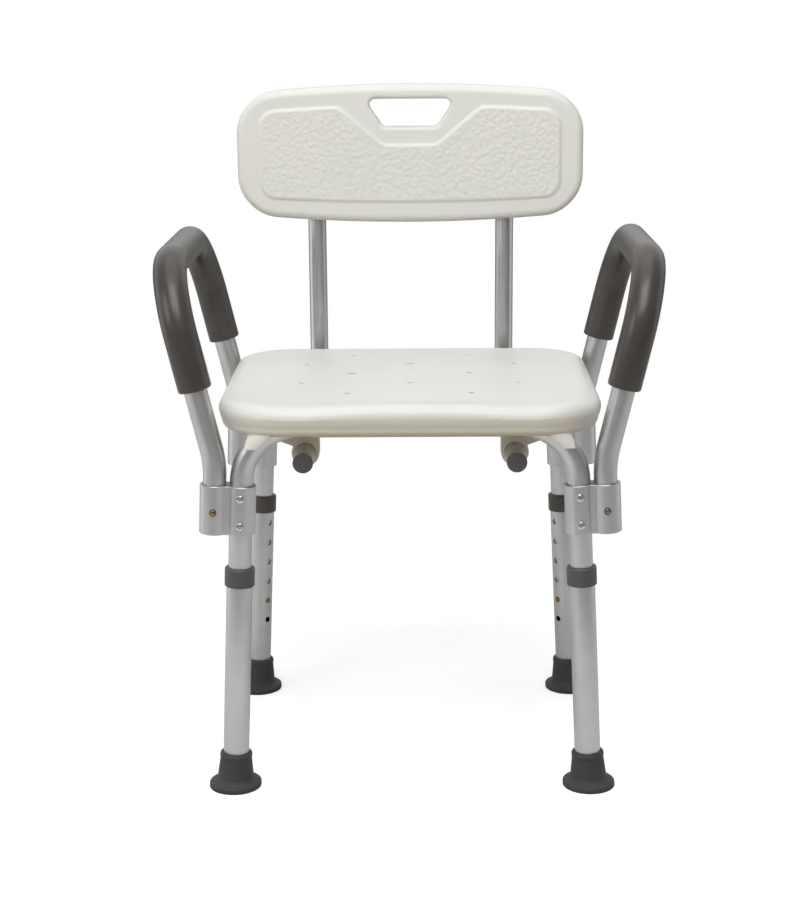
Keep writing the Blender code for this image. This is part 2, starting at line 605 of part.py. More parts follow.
def seat(chair, finish):
    """The moulded seat with its channels, bosses, ears and drain holes."""
    made = add_object("seat_panel", seat_slab(), finish, chair)
    channel = FRAME_TUBE_R + FIT
    joined, bores, pins, drains = bmesh.new(), bmesh.new(), bmesh.new(), bmesh.new()
    ears, round_ears = bmesh.new(), bmesh.new()
    for _, side in SIDES:
        x = side * BACK_TUBE_X
        for y in BOSS_PLACES:
            prism(joined, boss_outline(side), y - BOSS_LENGTH / 2, y + BOSS_LENGTH / 2)
            rod(bores, (x, y - BOSS_LENGTH, BACK_RUN_Z), (x, y + BOSS_LENGTH, BACK_RUN_Z),
                BACK_TUBE_R + SLIDE_FIT, TUBE_SIDES)
        y = BOSS_PLACES[0]
        rod(pins, (x, y, BACK_RUN_Z), (x, y, BACK_RUN_Z - 2 * BOSS_R), BUTTON_R + 2 * HOLE_FIT)
        x = side * SEAT_SCREW_X
        for _, _, y in ENDS:
            prism(ears, saddle_outline(side), y - 2 * channel, y + 2 * channel)
        rod(pins, (x, REAR_LEG_Y, FRAME_RUN_Z), (x, REAR_LEG_Y, SEAT_SCREW_END + FIT), SCREW_R + HOLE_FIT)
    for x, y in drain_places():
        rod(drains, (x, y, SEAT_BOTTOM - SEAT_THICKNESS), (x, y, SEAT_TOP + SEAT_THICKNESS), DRAIN_R)
    boolean(made, add_object("seat_bosses", joined, parent=chair), "UNION")
    paths = {end_name: [p + Vector((0, y, 0)) for p in frame_path()] for end_name, _, y in ENDS}
    for path in paths.values():
        loft(round_ears, rings_along(path, [channel + SADDLE_WALL] * len(path), Vector((0, 1, 0))))
    saddles = add_object("seat_ears", ears, parent=chair)
    boolean(saddles, add_object("seat_round_ears", round_ears, parent=chair), "INTERSECT")
    boolean(made, saddles, "UNION")
    for end_name, _, y in ENDS:
        path = paths[end_name]
        groove, slot = bmesh.new(), bmesh.new()
        loft(groove, rings_along(path, [channel] * len(path), Vector((0, 1, 0))))
        prism(slot, [(p.x, p.z) for p in path], y - channel, y + channel)
        boolean(made, add_object(f"seat_groove_{end_name}", groove, parent=chair))
        boolean(made, add_object(f"seat_slot_{end_name}", slot, parent=chair))
    boolean(made, add_object("seat_bores", bores, parent=chair))
    boolean(made, add_object("seat_pin_holes", pins, parent=chair))
    boolean(made, add_object("seat_drains", drains, parent=chair))


def drain_places():
    """Drain holes in staggered columns."""
    near, far = DRAIN_COLUMNS
    step = DRAIN_PITCH_Y
    places = [(x, DRAIN_MIDDLE_Y + way * step / 2) for x in (-far, 0, far) for way in (-1, 1)]
    places += [(x, DRAIN_MIDDLE_Y + way * step) for x in (-near, near) for way in (-1, 0, 1)]
    return places


def back_tube(side_name, side, backrest, finish, cap_finish, button_finish):
    """One L-shaped back tube, its end cap and its snap button."""
    x = side * BACK_TUBE_X
    front = Vector((x, BACK_TUBE_FRONT, BACK_RUN_Z))
    path = rounded([front, (x, BACK_TUBE_Y, BACK_RUN_Z), (x, BACK_TUBE_Y, BACK_TUBE_TOP)], (0, BACK_BEND_R, 0))
    bore = BACK_TUBE_R - BACK_TUBE_WALL
    bm = tube(path, BACK_TUBE_R, bore, Vector((1, 0, 0)))
    made = add_object(f"back_tube_{side_name}", bm, finish, backrest)
    cuts = bmesh.new()
    place = Vector((x, BOSS_PLACES[0], BACK_RUN_Z))
    down = Vector((0, 0, -1))
    rod(cuts, place, place + down * (BACK_TUBE_R * 2), BUTTON_R + HOLE_FIT)
    for height in PANEL_SCREW_HEIGHTS:
        ends = [(x, BACK_TUBE_Y + way * BACK_TUBE_R * 2, height) for way in (-1, 1)]
        rod(cuts, *ends, SCREW_R + HOLE_FIT)
    boolean(made, add_object(f"back_tube_holes_{side_name}", cuts, parent=backrest))
    snap_button(f"back_button_{side_name}", bore, BOSS_R, down, Vector((0, 1, 0)), backrest, place, button_finish)
    plug, edge = bore - FIT, CAP_HEAD / 3
    profile = [(-CAP_HEAD, BACK_TUBE_R - edge), (edge - CAP_HEAD, BACK_TUBE_R), (-FIT, BACK_TUBE_R),
               (-FIT, plug), (CAP_STEM, plug)]
    bm = bmesh.new()
    turned(bm, profile, Vector((0, 1, 0)), Vector((1, 0, 0)), TUBE_SIDES, front)
    add_object(f"back_tube_cap_{side_name}", bm, cap_finish, backrest)


def panel_curve(x):
    """How far the back panel's surface comes forward at a place across it."""
    return -PANEL_CURVE * (2 * x / PANEL_WIDTH) ** 2


PANEL_SCREW_END = BACK_TUBE_Y - PANEL_FRONT + panel_curve(BACK_TUBE_X) + PANEL_SCREW_TIP


def panel_crown(x, z):
    """A height on the panel's plain outline moved by the swell of its edges."""
    middle, half = (PANEL_TOP + PANEL_BOTTOM) / 2, (PANEL_TOP - PANEL_BOTTOM) / 2
    return z + PANEL_CROWN * (1 - (2 * x / PANEL_WIDTH) ** 2) * (z - middle) / half


def curved_slab(rings):
    """Loft flat rings, divide them across the width and bend them to the panel's curve."""
    bm = bmesh.new()
    loft(bm, rings)
    for k in range(1, PANEL_STRIPS):
        place = Vector((PANEL_WIDTH * (k / PANEL_STRIPS - 0.5), 0, 0))
        every = bm.verts[:] + bm.edges[:] + bm.faces[:]
        bmesh.ops.bisect_plane(bm, geom=every, plane_co=place, plane_no=(1, 0, 0))
    for vertex in bm.verts:
        vertex.co.z = panel_crown(vertex.co.x, vertex.co.z)
        vertex.co.y += panel_curve(vertex.co.x)
    return bm


def panel_outline(inset):
    """The panel's plain outline at a distance inside its edge."""
    half = PANEL_WIDTH / 2 - inset
    low, high = PANEL_BOTTOM + inset, PANEL_TOP - inset
    points = [(-half, 0, low), (half, 0, low), (half, 0, high), (-half, 0, high)]
    return rounded(points, [PANEL_CORNER_R - inset] * 4, closed=True)


def field_outline(inset):
    """The raised field of the panel, which dips below the handle."""
    half = PANEL_WIDTH / 2 - FIELD_SIDE_INSET - inset
    low, high = PANEL_BOTTOM + FIELD_BOTTOM_INSET + inset, PANEL_TOP - FIELD_TOP_INSET - inset
    notch = HANDLE_BOTTOM - NOTCH_RIM - inset
    rise = high - notch
    near = HANDLE_BOTTOM_HALF + inset * (math.hypot(NOTCH_SLOPE_WIDTH, rise) - NOTCH_SLOPE_WIDTH) / rise
    far = near + NOTCH_SLOPE_WIDTH
    points = [(-half, low), (half, low), (half, high), (far, high), (near, notch),
              (-near, notch), (-far, high), (-half, high)]
    return rounded([(x, 0, z) for x, z in points], [FIELD_CORNER_R] * len(points), closed=True)


def back_panel(backrest, finish):
    """The moulded back, with a handle hole, a raised field and channels for the tubes."""
    field_front = BACK_TUBE_Y - PANEL_FRONT
    front, back = field_front + FIELD_RISE, field_front + PANEL_THICKNESS
    turns = [math.pi / 2 * k / 3 for k in range(4)]
    profile = [(PANEL_EDGE_R * (1 - math.sin(t)), front + PANEL_EDGE_R * (1 - math.cos(t))) for t in turns]
    profile += [(0, back - PANEL_REAR_EDGE_R), (PANEL_REAR_EDGE_R, back)]
    rings = [[Vector((p.x, y, p.z)) for p in panel_outline(inset)] for inset, y in profile]
    made = add_object("back_panel", curved_slab(rings), finish, backrest)

    profile = [(FIELD_EDGE, field_front), (0, front), (0, front + PANEL_EDGE_R)]
    rings = [[Vector((p.x, y, p.z)) for p in field_outline(inset)] for inset, y in profile]
    boolean(made, add_object("panel_field", curved_slab(rings), parent=backrest), "UNION")

    hole = bmesh.new()
    ends = [(-HANDLE_BOTTOM_HALF, 0, HANDLE_BOTTOM), (HANDLE_BOTTOM_HALF, 0, HANDLE_BOTTOM),
            (HANDLE_TOP_HALF, 0, HANDLE_TOP), (-HANDLE_TOP_HALF, 0, HANDLE_TOP)]
    outline = rounded(ends, [HANDLE_CORNER_R] * 4, closed=True)
    prism(hole, [(p.x, p.z) for p in outline], front - PANEL_THICKNESS, back + PANEL_THICKNESS)
    boolean(made, add_object("panel_handle", hole, parent=backrest))

    cuts, pins = bmesh.new(), bmesh.new()
    channel = BACK_TUBE_R + FIT
    low, high = PANEL_BOTTOM - 2 * PANEL_CROWN, BACK_TUBE_TOP + FIT
    for _, side in SIDES:
        x = side * BACK_TUBE_X
        outline = [(px, BACK_TUBE_Y + py) for px, py in arc(x, channel, math.pi, 2 * math.pi)]
        outline += [(x + channel, back + PANEL_THICKNESS), (x - channel, back + PANEL_THICKNESS)]
        loft(cuts, [[Vector((px, py, z)) for px, py in outline] for z in (low, high)])
        for height in PANEL_SCREW_HEIGHTS:
            rod(pins, (x, BACK_TUBE_Y, height), (x, PANEL_SCREW_END - FIT, height), SCREW_R + HOLE_FIT)
    boolean(made, add_object("panel_channels", cuts, parent=backrest))
    boolean(made, add_object("panel_pin_holes", pins, parent=backrest))


def build():
    clear_scene()
    satin = material("satin_aluminium", (0.52, 0.52, 0.53), 0.35, 1.0)
    moulded = material("moulded_polyethylene", (0.75, 0.75, 0.70), 0.45)
    foam = material("foam_rubber", (0.085, 0.075, 0.072), 0.75)
    grey = material("grey_plastic", (0.070, 0.068, 0.070), 0.5)
    rubber = material("grey_rubber", (0.085, 0.085, 0.088), 0.65)
    brass = material("brass", (0.60, 0.36, 0.16), 0.3, 1.0)
    steel = material("bright_steel", (0.70, 0.70, 0.71), 0.2, 1.0)

    chair = empty("chair", Matrix.Translation((0, CHAIR_Y, 0)))
    seat(chair, moulded)
    for end_name, end, y in ENDS:
        leg_frame(end_name, end, y, chair, satin)
    for corner in CORNERS:
        axis = empty(f"leg_axis_{corner.name}", leg_matrix(corner), chair)
        leg_extension(corner, axis, satin)
        leg_collar(corner, axis, grey)
        leg_foot(corner, axis, rubber)
        snap_button(f"leg_button_{corner.name}", FRAME_TUBE_R - FRAME_TUBE_WALL, LEG_TUBE_R, button_way(corner),
                    Vector((0, 0, 1)), axis, Vector((0, 0, BUTTON_HEIGHT)), brass)
        arm_bracket(corner, axis, satin)
        for level, height in zip(("lower", "upper"), BRACKET_SCREW_HEIGHTS):
            screw(f"bracket_screw_{level}_{corner.name}", (0, corner.end * BRACKET_LAND, height),
                  BRACKET_SCREW_DEPTH, Vector((0, corner.end, 0)), axis, steel)
    for side_name, side in SIDES:
        under = FRAME_RUN_Z - FRAME_TUBE_R
        screw(f"seat_screw_{side_name}", (side * SEAT_SCREW_X, REAR_LEG_Y, under),
              SEAT_SCREW_END - under, Vector((0, 0, -1)), chair, steel)
        armrest(side_name, side, chair, satin, foam, brass)

    backrest = empty("backrest", Matrix.Identity(4), chair)
    back_panel(backrest, moulded)
    for side_name, side in SIDES:
        back_tube(side_name, side, backrest, satin, grey, brass)
        for level, height in zip(("lower", "upper"), PANEL_SCREW_HEIGHTS):
            behind = BACK_TUBE_Y + BACK_TUBE_R
            screw(f"panel_screw_{level}_{side_name}", (side * BACK_TUBE_X, behind, height),
                  behind - PANEL_SCREW_END, Vector((0, 1, 0)), backrest, steel)


build()
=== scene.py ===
# %% [markdown]
# # A bath chair
# A bath chair lets someone sit down in a shower or a tub. This one has a thick moulded
# seat, a separate moulded back, aluminium legs that telescope in one inch steps and two
# padded arms that plug into sockets on the legs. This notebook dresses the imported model
# of the chair: it loads the solids, then makes a finer piece and a real finish for each.

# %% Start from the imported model
from collections import namedtuple
from functools import partial
from math import asin, copysign, cos, exp, hypot, pi, radians, sin, tan

import bmesh
import bpy
import numpy as np
from mathutils import Matrix, Vector


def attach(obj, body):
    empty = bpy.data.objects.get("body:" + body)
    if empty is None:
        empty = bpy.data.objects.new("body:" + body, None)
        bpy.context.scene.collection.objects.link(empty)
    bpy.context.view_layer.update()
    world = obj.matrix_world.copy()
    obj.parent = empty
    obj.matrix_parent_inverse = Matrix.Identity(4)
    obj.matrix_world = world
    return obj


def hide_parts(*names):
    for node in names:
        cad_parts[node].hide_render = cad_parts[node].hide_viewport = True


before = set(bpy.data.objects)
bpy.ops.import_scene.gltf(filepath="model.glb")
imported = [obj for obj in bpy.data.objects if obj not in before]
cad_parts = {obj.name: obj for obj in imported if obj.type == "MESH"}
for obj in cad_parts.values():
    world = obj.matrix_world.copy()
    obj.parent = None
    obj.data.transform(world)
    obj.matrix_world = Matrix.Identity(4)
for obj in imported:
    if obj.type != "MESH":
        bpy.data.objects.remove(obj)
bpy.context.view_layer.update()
print("solids to dress:", len(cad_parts))

# %% [markdown]
# ## Colours and nodes
# Web colours are sRGB and Blender's shaders want linear light, so one function turns one
# into the other. `feed` sets or links the inputs of a node, and `add_node` adds a node
# with its settings and inputs in one call.


# %% Helpers for finishes
def linear(code):
    """A web colour as linear red, green, blue and alpha."""
    channels = [int(code[i:i + 2], 16) / 255 for i in (1, 3, 5)]
    return (*[c / 12.92 if c <= 0.04045 else ((c + 0.055) / 1.055) ** 2.4 for c in channels], 1.0)


def feed(node, inputs):
    """Give inputs a value, a socket or a node each; a node stands for its first output."""
    for name, value in inputs.items():
        source = value.outputs[0] if isinstance(value, bpy.types.Node) else value
        if isinstance(source, bpy.types.NodeSocket):
            node.id_data.links.new(source, node.inputs[name])
        else:
            node.inputs[name].default_value = source


def add_node(tree, kind, inputs=(), family="ShaderNode", **settings):
    """Add a node, whose type is its family and its kind together, set it up and feed it."""
    node = tree.nodes.new(family + kind)
    for name, value in settings.items():
        setattr(node, name, value)
    feed(node, dict(inputs))
    return node


def new_finish(name, values):
    """A material with a Principled shader; returns it with its tree and its shader."""
    finish = bpy.data.materials.new(name)
    finish.use_nodes = True
    shader = finish.node_tree.nodes["Principled BSDF"]
    feed(shader, values)
    return finish, finish.node_tree, shader


print("middle grey:", linear("#808080")[0])

# %% [markdown]
# ## Satin anodised aluminium
# The tubes are extruded and anodised, which leaves a pale grey skin with broad and soft
# highlights. Faint lines run along each tube, where the die dragged. They follow it round
# its bends, so they are drawn on the tube's own map of distances: U goes round it and V
# along it, both in metres.

# %% Aluminium
MAP = "around_along"
DIE_LINE = 0.0009               # metres across one drag line, coarser than real so that it shows
DIE_LINE_LENGTH = 0.09
aluminium, tree, shader = new_finish("anodised_aluminium", {"Metallic": 1.0})
add = partial(add_node, tree)
distances = add("UVMap", uv_map=MAP)
stretch = add("Mapping", {"Vector": distances, "Scale": (1 / DIE_LINE, 1 / DIE_LINE_LENGTH, 1)})
lines = add("TexNoise", {"Vector": stretch, "Scale": 1.0, "Detail": 3.0})
place = add("TexCoord").outputs["Object"]
cloud = add("TexNoise", {"Vector": place, "Scale": 22.0, "Detail": 4.0})
tones = add("Mix", {0: cloud, 6: linear("#BABABA"), 7: linear("#D0D0D0")}, data_type="RGBA")
rough = add("MapRange", {"Value": lines, "To Min": 0.28, "To Max": 0.44})
drag = add("Bump", {"Height": lines, "Strength": 0.15, "Distance": 0.0002})
feed(shader, {"Base Color": tones.outputs[2], "Roughness": rough, "Normal": drag})
print("nodes in the aluminium:", len(tree.nodes))

# %% [markdown]
# ## Moulded polyethylene
# The seat and the back are blow moulded in off-white polyethylene. The mould is sand
# blasted, so the skin has a fine grain and a waxy shine. The middle of the back is
# pebbled, so that wet skin doesn't stick. One function makes both and the small parts'
# finishes too, and adds a Voronoi pattern of pebbles where that is asked for.

# %% Polyethylene
PEBBLE, PEBBLE_HEIGHT = 0.0055, 0.001   # metres across and up one pebble


def grained_finish(name, values, first, second, grain, strength, depth=0.0003, patches=40.0, detail=3.0,
                   pebbles=0.0):
    """Patches of two colours, so many in a metre, and a skin with a grain and perhaps pebbles."""
    finish, tree, shader = new_finish(name, values)
    add = partial(add_node, tree)
    place = add("TexCoord").outputs["Object"]
    noise = add("TexNoise", {"Vector": place, "Scale": 1 / grain, "Detail": detail})
    cloud = add("TexNoise", {"Vector": place, "Scale": patches, "Detail": detail + 1})
    tones = add("Mix", {0: cloud, 6: linear(first), 7: linear(second)}, data_type="RGBA")
    skin = add("Bump", {"Height": noise, "Strength": strength, "Distance": depth})
    if pebbles:
        cells = add("TexVoronoi", {"Vector": place, "Scale": 1 / PEBBLE, "Smoothness": 0.6},
                    feature="SMOOTH_F1")
        skin = add("Bump", {"Height": cells, "Strength": pebbles, "Distance": PEBBLE_HEIGHT,
                            "Normal": skin}, invert=True)
    feed(shader, {"Base Color": tones.outputs[2], "Normal": skin})
    return finish


WAXY = {"Roughness": 0.42, "Specular IOR Level": 0.45}
MOULDED = (WAXY, "#DFDFDA", "#E9E9E4", 0.0006, 0.12, 0.0002, 9.0, 2.0)
polyethylene = grained_finish("moulded_polyethylene", *MOULDED)
pebbled = grained_finish("pebbled_polyethylene", *MOULDED, pebbles=0.95)
print("pebbles across 0.1 m:", round(0.1 / PEBBLE))

# %% [markdown]
# ## Foam, nylon, rubber, brass and steel
# The grips are foam with a closed skin, which looks dull and a little leathery. Collars
# and caps are satin nylon, and the feet are moulded rubber, which is duller still. The
# snap buttons are turned brass and the screws are zinc plated steel.

# %% Small parts' finishes
foam = grained_finish("skinned_foam", {"Roughness": 0.29}, "#3F3A37", "#4B4643", 0.0011, 0.3)
nylon = grained_finish("satin_nylon", {"Roughness": 0.42}, "#504E51", "#585759", 0.0008, 0.15)
rubber = grained_finish("moulded_rubber", {"Roughness": 0.6, "Specular IOR Level": 0.3}, "#414143",
                        "#4C4C4E", 0.0009, 0.25)
brass = grained_finish("turned_brass", {"Metallic": 1.0, "Roughness": 0.22}, "#8C6D47", "#A5865C",
                       0.0006, 0.1)
steel = grained_finish("zinc_plated_steel", {"Metallic": 1.0, "Roughness": 0.2}, "#C4C6C9", "#D2D2D0",
                       0.0006, 0.08)
print("finishes:", [finish.name for finish in bpy.data.materials])

# %% [markdown]
# ## Where everything stands
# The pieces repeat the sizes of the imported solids, in metres. A leg is modelled upright
# with its foot at the origin, and one matrix then leans it inwards and carries it to its
# corner of the chair. Every corner has a name, a side (-1 is left), an end (-1 is the
# front) and its leg's matrix.

# %% Corners and sides of the chair
CHAIR_Y = -0.0222               # the middle of the legs, seen from the middle of the chair
LEG_HALF_X, LEG_HALF_Y = 0.19775, 0.1525
LEG_LEAN = radians(2.65)
ACROSS, BACKWARDS, UP = Vector((1, 0, 0)), Vector((0, 1, 0)), Vector((0, 0, 1))
CHAIR = Matrix.Translation((0, CHAIR_Y, 0))
SIDES = (("left", -1), ("right", 1))
ENDS = (("front", -1), ("rear", 1))
Corner = namedtuple("Corner", "name side end place")


def leg_place(side, y):
    """Carries a leg that stands upright at the origin to its side of the chair."""
    return CHAIR @ Matrix.Translation((side * LEG_HALF_X, y, 0)) @ Matrix.Rotation(-side * LEG_LEAN, 4, "Y")


CORNERS = [Corner(f"{end_name}_{side_name}", side, end, leg_place(side, end * LEG_HALF_Y))
           for end_name, end in ENDS for side_name, side in SIDES]
print("corners:", [corner.name for corner in CORNERS])

# %% [markdown]
# ## Shapes from rings
# Tubes, grips, feet, collars and screws are all rows of rings joined by faces. So one
# function, `loft`, joins rings, and short functions make them: along a bent path for a
# tube, or round an axis for a turned piece. `loft` also lays the map of distances that
# the aluminium's drag lines follow.

# %% Rings and lofts
BEND_STEPS, ROUND_STEPS = 20, 4     # facets along a bend and across a small rounded edge
TUBE_EDGE = 0.0003                  # rounding or chamfer of a sawn or drilled edge


def round_corner(before, corner, after, radius, steps=BEND_STEPS):
    """The points of an arc that rounds a corner."""
    if radius <= 0:
        return [corner.copy()]
    back, ahead = (before - corner).normalized(), (after - corner).normalized()
    half = back.angle(ahead) / 2
    centre = corner + (back + ahead).normalized() * (radius / sin(half))
    first, last = ((corner + way * (radius / tan(half)) - centre).normalized() for way in (back, ahead))
    across = (last - first * last.dot(first)).normalized()
    turns = [(pi - 2 * half) * k / steps for k in range(steps + 1)]
    return [centre + (first * cos(turn) + across * sin(turn)) * radius for turn in turns]


def rounded(points, radii):
    """An open path with its inner corners rounded."""
    points = [Vector(p) for p in points]
    path = [points[0]]
    for i, radius in enumerate(radii, 1):
        path += round_corner(points[i - 1], points[i], points[i + 1], radius)
    return path + [points[-1]]


def quarter(radius, steps=8):
    """How far in and how far along each point of a rounded edge is, from the side inwards."""
    turns = [pi / 2 * k / steps for k in range(steps + 1)]
    return [(radius * (1 - cos(t)), radius * sin(t)) for t in turns]


def circle(centre, axis, side, radius, count=48):
    """Points round an axis, the first of them towards a side."""
    across = (side - axis * side.dot(axis)).normalized()
    up = axis.cross(across)
    turns = [2 * pi * k / count for k in range(count)]
    return [centre + (across * cos(t) + up * sin(t)) * radius for t in turns]


def travelled(points):
    """Distances along a row of points, from its first."""
    distances = [0.0]
    for a, b in zip(points, points[1:]):
        distances.append(distances[-1] + (b - a).length)
    return distances


def loft(rings, closed=False, caps=False):
    """A mesh of rings joined in a row, with its map of distances."""
    bm = bmesh.new()
    layer = bm.loops.layers.uv.new(MAP)
    widest = max(rings, key=lambda ring: (ring[0] - ring[len(ring) // 2]).length)
    around = travelled([*widest, widest[0]])
    along = travelled([sum(ring, Vector()) / len(ring) for ring in rings])
    loops = [[bm.verts.new(point) for point in ring] for ring in rings]
    rows = list(range(len(loops)))
    for low, high in zip(rows, rows[1:] + rows[:1] if closed else rows[1:]):
        for i in range(len(around) - 1):
            j = (i + 1) % len(loops[low])
            face = bm.faces.new((loops[low][i], loops[low][j], loops[high][j], loops[high][i]))
            spots = ((i, low), (i + 1, low), (i + 1, high), (i, high))
            for corner, (u, v) in zip(face.loops, spots):
                corner[layer].uv = around[u], along[v]
    if caps:
        bm.faces.new(loops[0][::-1])
        bm.faces.new(loops[-1])
    return bm


def hollow(path, outer, inner, side, edge=TUBE_EDGE):
    """A tube along a path, with the outer edges of its two ends rounded."""
    lead = [(ahead, edge - rise) for ahead, rise in quarter(edge, ROUND_STEPS)]
    first, last = (path[1] - path[0]).normalized(), (path[-2] - path[-1]).normalized()
    centres = [path[0] + first * ahead for ahead, _ in lead] + path[1:-1]
    centres += [path[-1] + last * ahead for ahead, _ in lead[::-1]]
    ends = [outer - less for _, less in lead]
    radii = ends + [outer] * (len(path) - 2) + ends[::-1]
    steps = [(b - a).normalized() for a, b in zip(centres, centres[1:])]
    axes = [(a + b).normalized() for a, b in zip(steps[:1] + steps, steps + steps[-1:])]
    skin = [circle(c, axis, side, r) for c, axis, r in zip(centres, axes, radii)]
    bore = [circle(c, axis, side, inner) for c, axis in zip(centres, axes)]
    return loft(skin + bore[::-1], closed=True)


def turned(profile, axis=UP, side=ACROSS, origin=Vector(), count=48):
    """A turned piece; each point of its closed profile is a radius and a place on the axis."""
    rings = [circle(origin + axis * d, axis, side, max(r, 0.0), count) for r, d in profile]
    return loft(rings, closed=True)


print("points of a circle:", len(circle(Vector(), UP, ACROSS, 1)))

# %% [markdown]
# ## From a mesh under construction to a finished piece
# `make` turns a bmesh into an object with clean normals and its own finishes. `cut`
# applies a Boolean at once and throws its tool away. `stand_in` shades a piece, lets it
# ride on the body it moves with and hides the solids it replaces.

# %% Making, cutting and placing
SHARP_ANGLE = radians(32)  # edges sharper than this stay crisp


def add_object(name, data):
    """A new object in the scene."""
    added = bpy.data.objects.new(name, data)
    bpy.context.scene.collection.objects.link(added)
    return added


def make(name, bm, finishes=(), place=Matrix.Identity(4)):
    """An object from a bmesh, which is carried to its place and has its faces turned out."""
    bmesh.ops.remove_doubles(bm, verts=bm.verts, dist=1e-6)
    bmesh.ops.transform(bm, matrix=place, verts=bm.verts)
    bmesh.ops.recalc_face_normals(bm, faces=bm.faces)
    mesh = bpy.data.meshes.new(name)
    bm.to_mesh(mesh)
    bm.free()
    for finish in finishes:
        mesh.materials.append(finish)
    return add_object(name, mesh)


def settle(piece):
    """Apply a piece's modifiers, so that it is a plain mesh."""
    bpy.context.view_layer.update()
    seen = piece.evaluated_get(bpy.context.evaluated_depsgraph_get())
    mesh = bpy.data.meshes.new_from_object(seen)
    piece.modifiers.clear()
    piece.data = mesh
    mesh.name = piece.name


def cut(piece, tool, operation="DIFFERENCE"):
    """Cut a tool out of a piece, or join it on, and remove the tool."""
    step = piece.modifiers.new("cut", "BOOLEAN")
    step.operation, step.solver, step.object = operation, "EXACT", tool
    settle(piece)
    bpy.data.objects.remove(tool)


def stand_in(piece, body, slot, *nodes):
    """Shade a piece, let it ride on its body and take the place of its solids."""
    piece.data.shade_smooth()
    piece.data.set_sharp_from_angle(angle=SHARP_ANGLE)
    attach(piece, body)
    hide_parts(*nodes)


# %% [markdown]
# ## Copies on points
# Screws and the pegs that punch rows of holes repeat, so a geometry node tree places
# them. On each point of a cloud it puts a copy of a model, turns the copy's Z to the
# point's own direction and gives it a turn of its own, as nobody drives two screws to
# the same angle. It ends in real geometry with a finish.

# %% A tree that copies a model onto points
copies = bpy.data.node_groups.new("copies_on_points", "GeometryNodeTree")
for name, kind in (("Points", "Geometry"), ("Model", "Object"), ("Finish", "Material"), ("Turn", "Float"),
                   ("Seed", "Int")):
    copies.interface.new_socket(name, in_out="INPUT", socket_type=f"NodeSocket{kind}")
copies.interface.new_socket("Geometry", in_out="OUTPUT", socket_type="NodeSocketGeometry")
add = partial(add_node, copies, family="")
given = add("NodeGroupInput").outputs
model = add("GeometryNodeObjectInfo", {"Object": given["Model"]}).outputs["Geometry"]
way = add("GeometryNodeInputNamedAttribute", {"Name": "way"}, data_type="FLOAT_VECTOR").outputs["Attribute"]
aim = add("FunctionNodeAlignRotationToVector", {"Vector": way}, axis="Z")
chance = add("FunctionNodeRandomValue", {3: given["Turn"], "Seed": given["Seed"]}, data_type="FLOAT")
spin = add("FunctionNodeAxisAngleToRotation", {"Axis": (0, 0, 1), "Angle": chance.outputs[1]})
turn = add("FunctionNodeRotateRotation", {0: aim, 1: spin}, rotation_space="LOCAL")
placed = add("GeometryNodeInstanceOnPoints",
             {"Points": given["Points"], "Instance": model, "Rotation": turn})
real = add("GeometryNodeRealizeInstances", {0: placed})
coated = add("GeometryNodeSetMaterial", {"Geometry": real, "Material": given["Finish"]})
add("NodeGroupOutput", {"Geometry": coated})


def copy_onto(name, model, spots, finish, turn=0.0, seed=1):
    """A piece made of copies of a model, one on each spot; a spot is a place and a direction."""
    mesh = bpy.data.meshes.new(name)
    mesh.from_pydata([place for place, _ in spots], [], [])
    ways = mesh.attributes.new("way", "FLOAT_VECTOR", "POINT")
    ways.data.foreach_set("vector", [part for _, way in spots for part in way])
    piece = add_object(name, mesh)
    step = piece.modifiers.new("copies", "NODES")
    step.node_group = copies
    for socket, value in (("Model", model), ("Finish", finish), ("Turn", turn), ("Seed", seed)):
        step[copies.interface.items_tree[socket].identifier] = value
    settle(piece)
    bpy.data.objects.remove(model)
    return piece


print("nodes in the tree:", len(copies.nodes))

# %% [markdown]
# ## Leg tubes
# Each lower leg is a piece of 28.6 mm tube with six holes one inch apart. A snap button
# clicks into one of them, which sets the height of the seat. A drilled hole has a small
# chamfer, so it is cut by a peg that flares where it meets the surface.

# %% Leg tubes with their rows of holes
FRAME_TUBE_R, FRAME_TUBE_WALL = 0.0127, 0.0013
SLIDE_FIT = 0.0004
LEG_TUBE_WALL = 0.0012
LEG_BORE_R = FRAME_TUBE_R + SLIDE_FIT
LEG_TUBE_R = LEG_BORE_R + LEG_TUBE_WALL
LEG_TUBE_BOTTOM, LEG_TUBE_TOP = 0.0103, 0.25
HOLE_PITCH, HOLE_COUNT, TOP_HOLE = 0.0254, 6, 0.222
BUTTON_R, HOLE_FIT = 0.0031, 0.0004
BUTTON_TURN = radians(45)


def peg(radius, depth):
    """A cutter that points up; its mouth is at the origin and has a chamfer."""
    top, low = 4 * TUBE_EDGE, -TUBE_EDGE
    profile = [(0, top), (radius + top - low, top), (radius, low), (radius, -depth), (0, -depth)]
    return make("peg", turned(profile, count=32))


def button_way(corner):
    """The way a leg's holes and button face: inwards and to the chair's middle."""
    return Vector((-corner.side * cos(BUTTON_TURN), -corner.end * sin(BUTTON_TURN), 0))


for corner in CORNERS:
    tube = hollow([UP * LEG_TUBE_BOTTOM, UP * LEG_TUBE_TOP], LEG_TUBE_R, LEG_BORE_R, ACROSS)
    leg_tube = make(f"leg_tube_{corner.name}", tube, [aluminium], corner.place)
    way = button_way(corner)
    mouths = [way * LEG_TUBE_R + UP * (TOP_HOLE - HOLE_PITCH * k) for k in range(HOLE_COUNT)]
    spots = [(corner.place @ mouth, corner.place.to_3x3() @ way) for mouth in mouths]
    cut(leg_tube, copy_onto("holes", peg(BUTTON_R + HOLE_FIT, LEG_TUBE_R), spots, aluminium))
    stand_in(leg_tube, f"leg_{corner.name}", "satin_aluminium", f"leg_extension_{corner.name}")
print("triangles in a leg tube:", sum(len(face.vertices) - 2 for face in leg_tube.data.polygons))

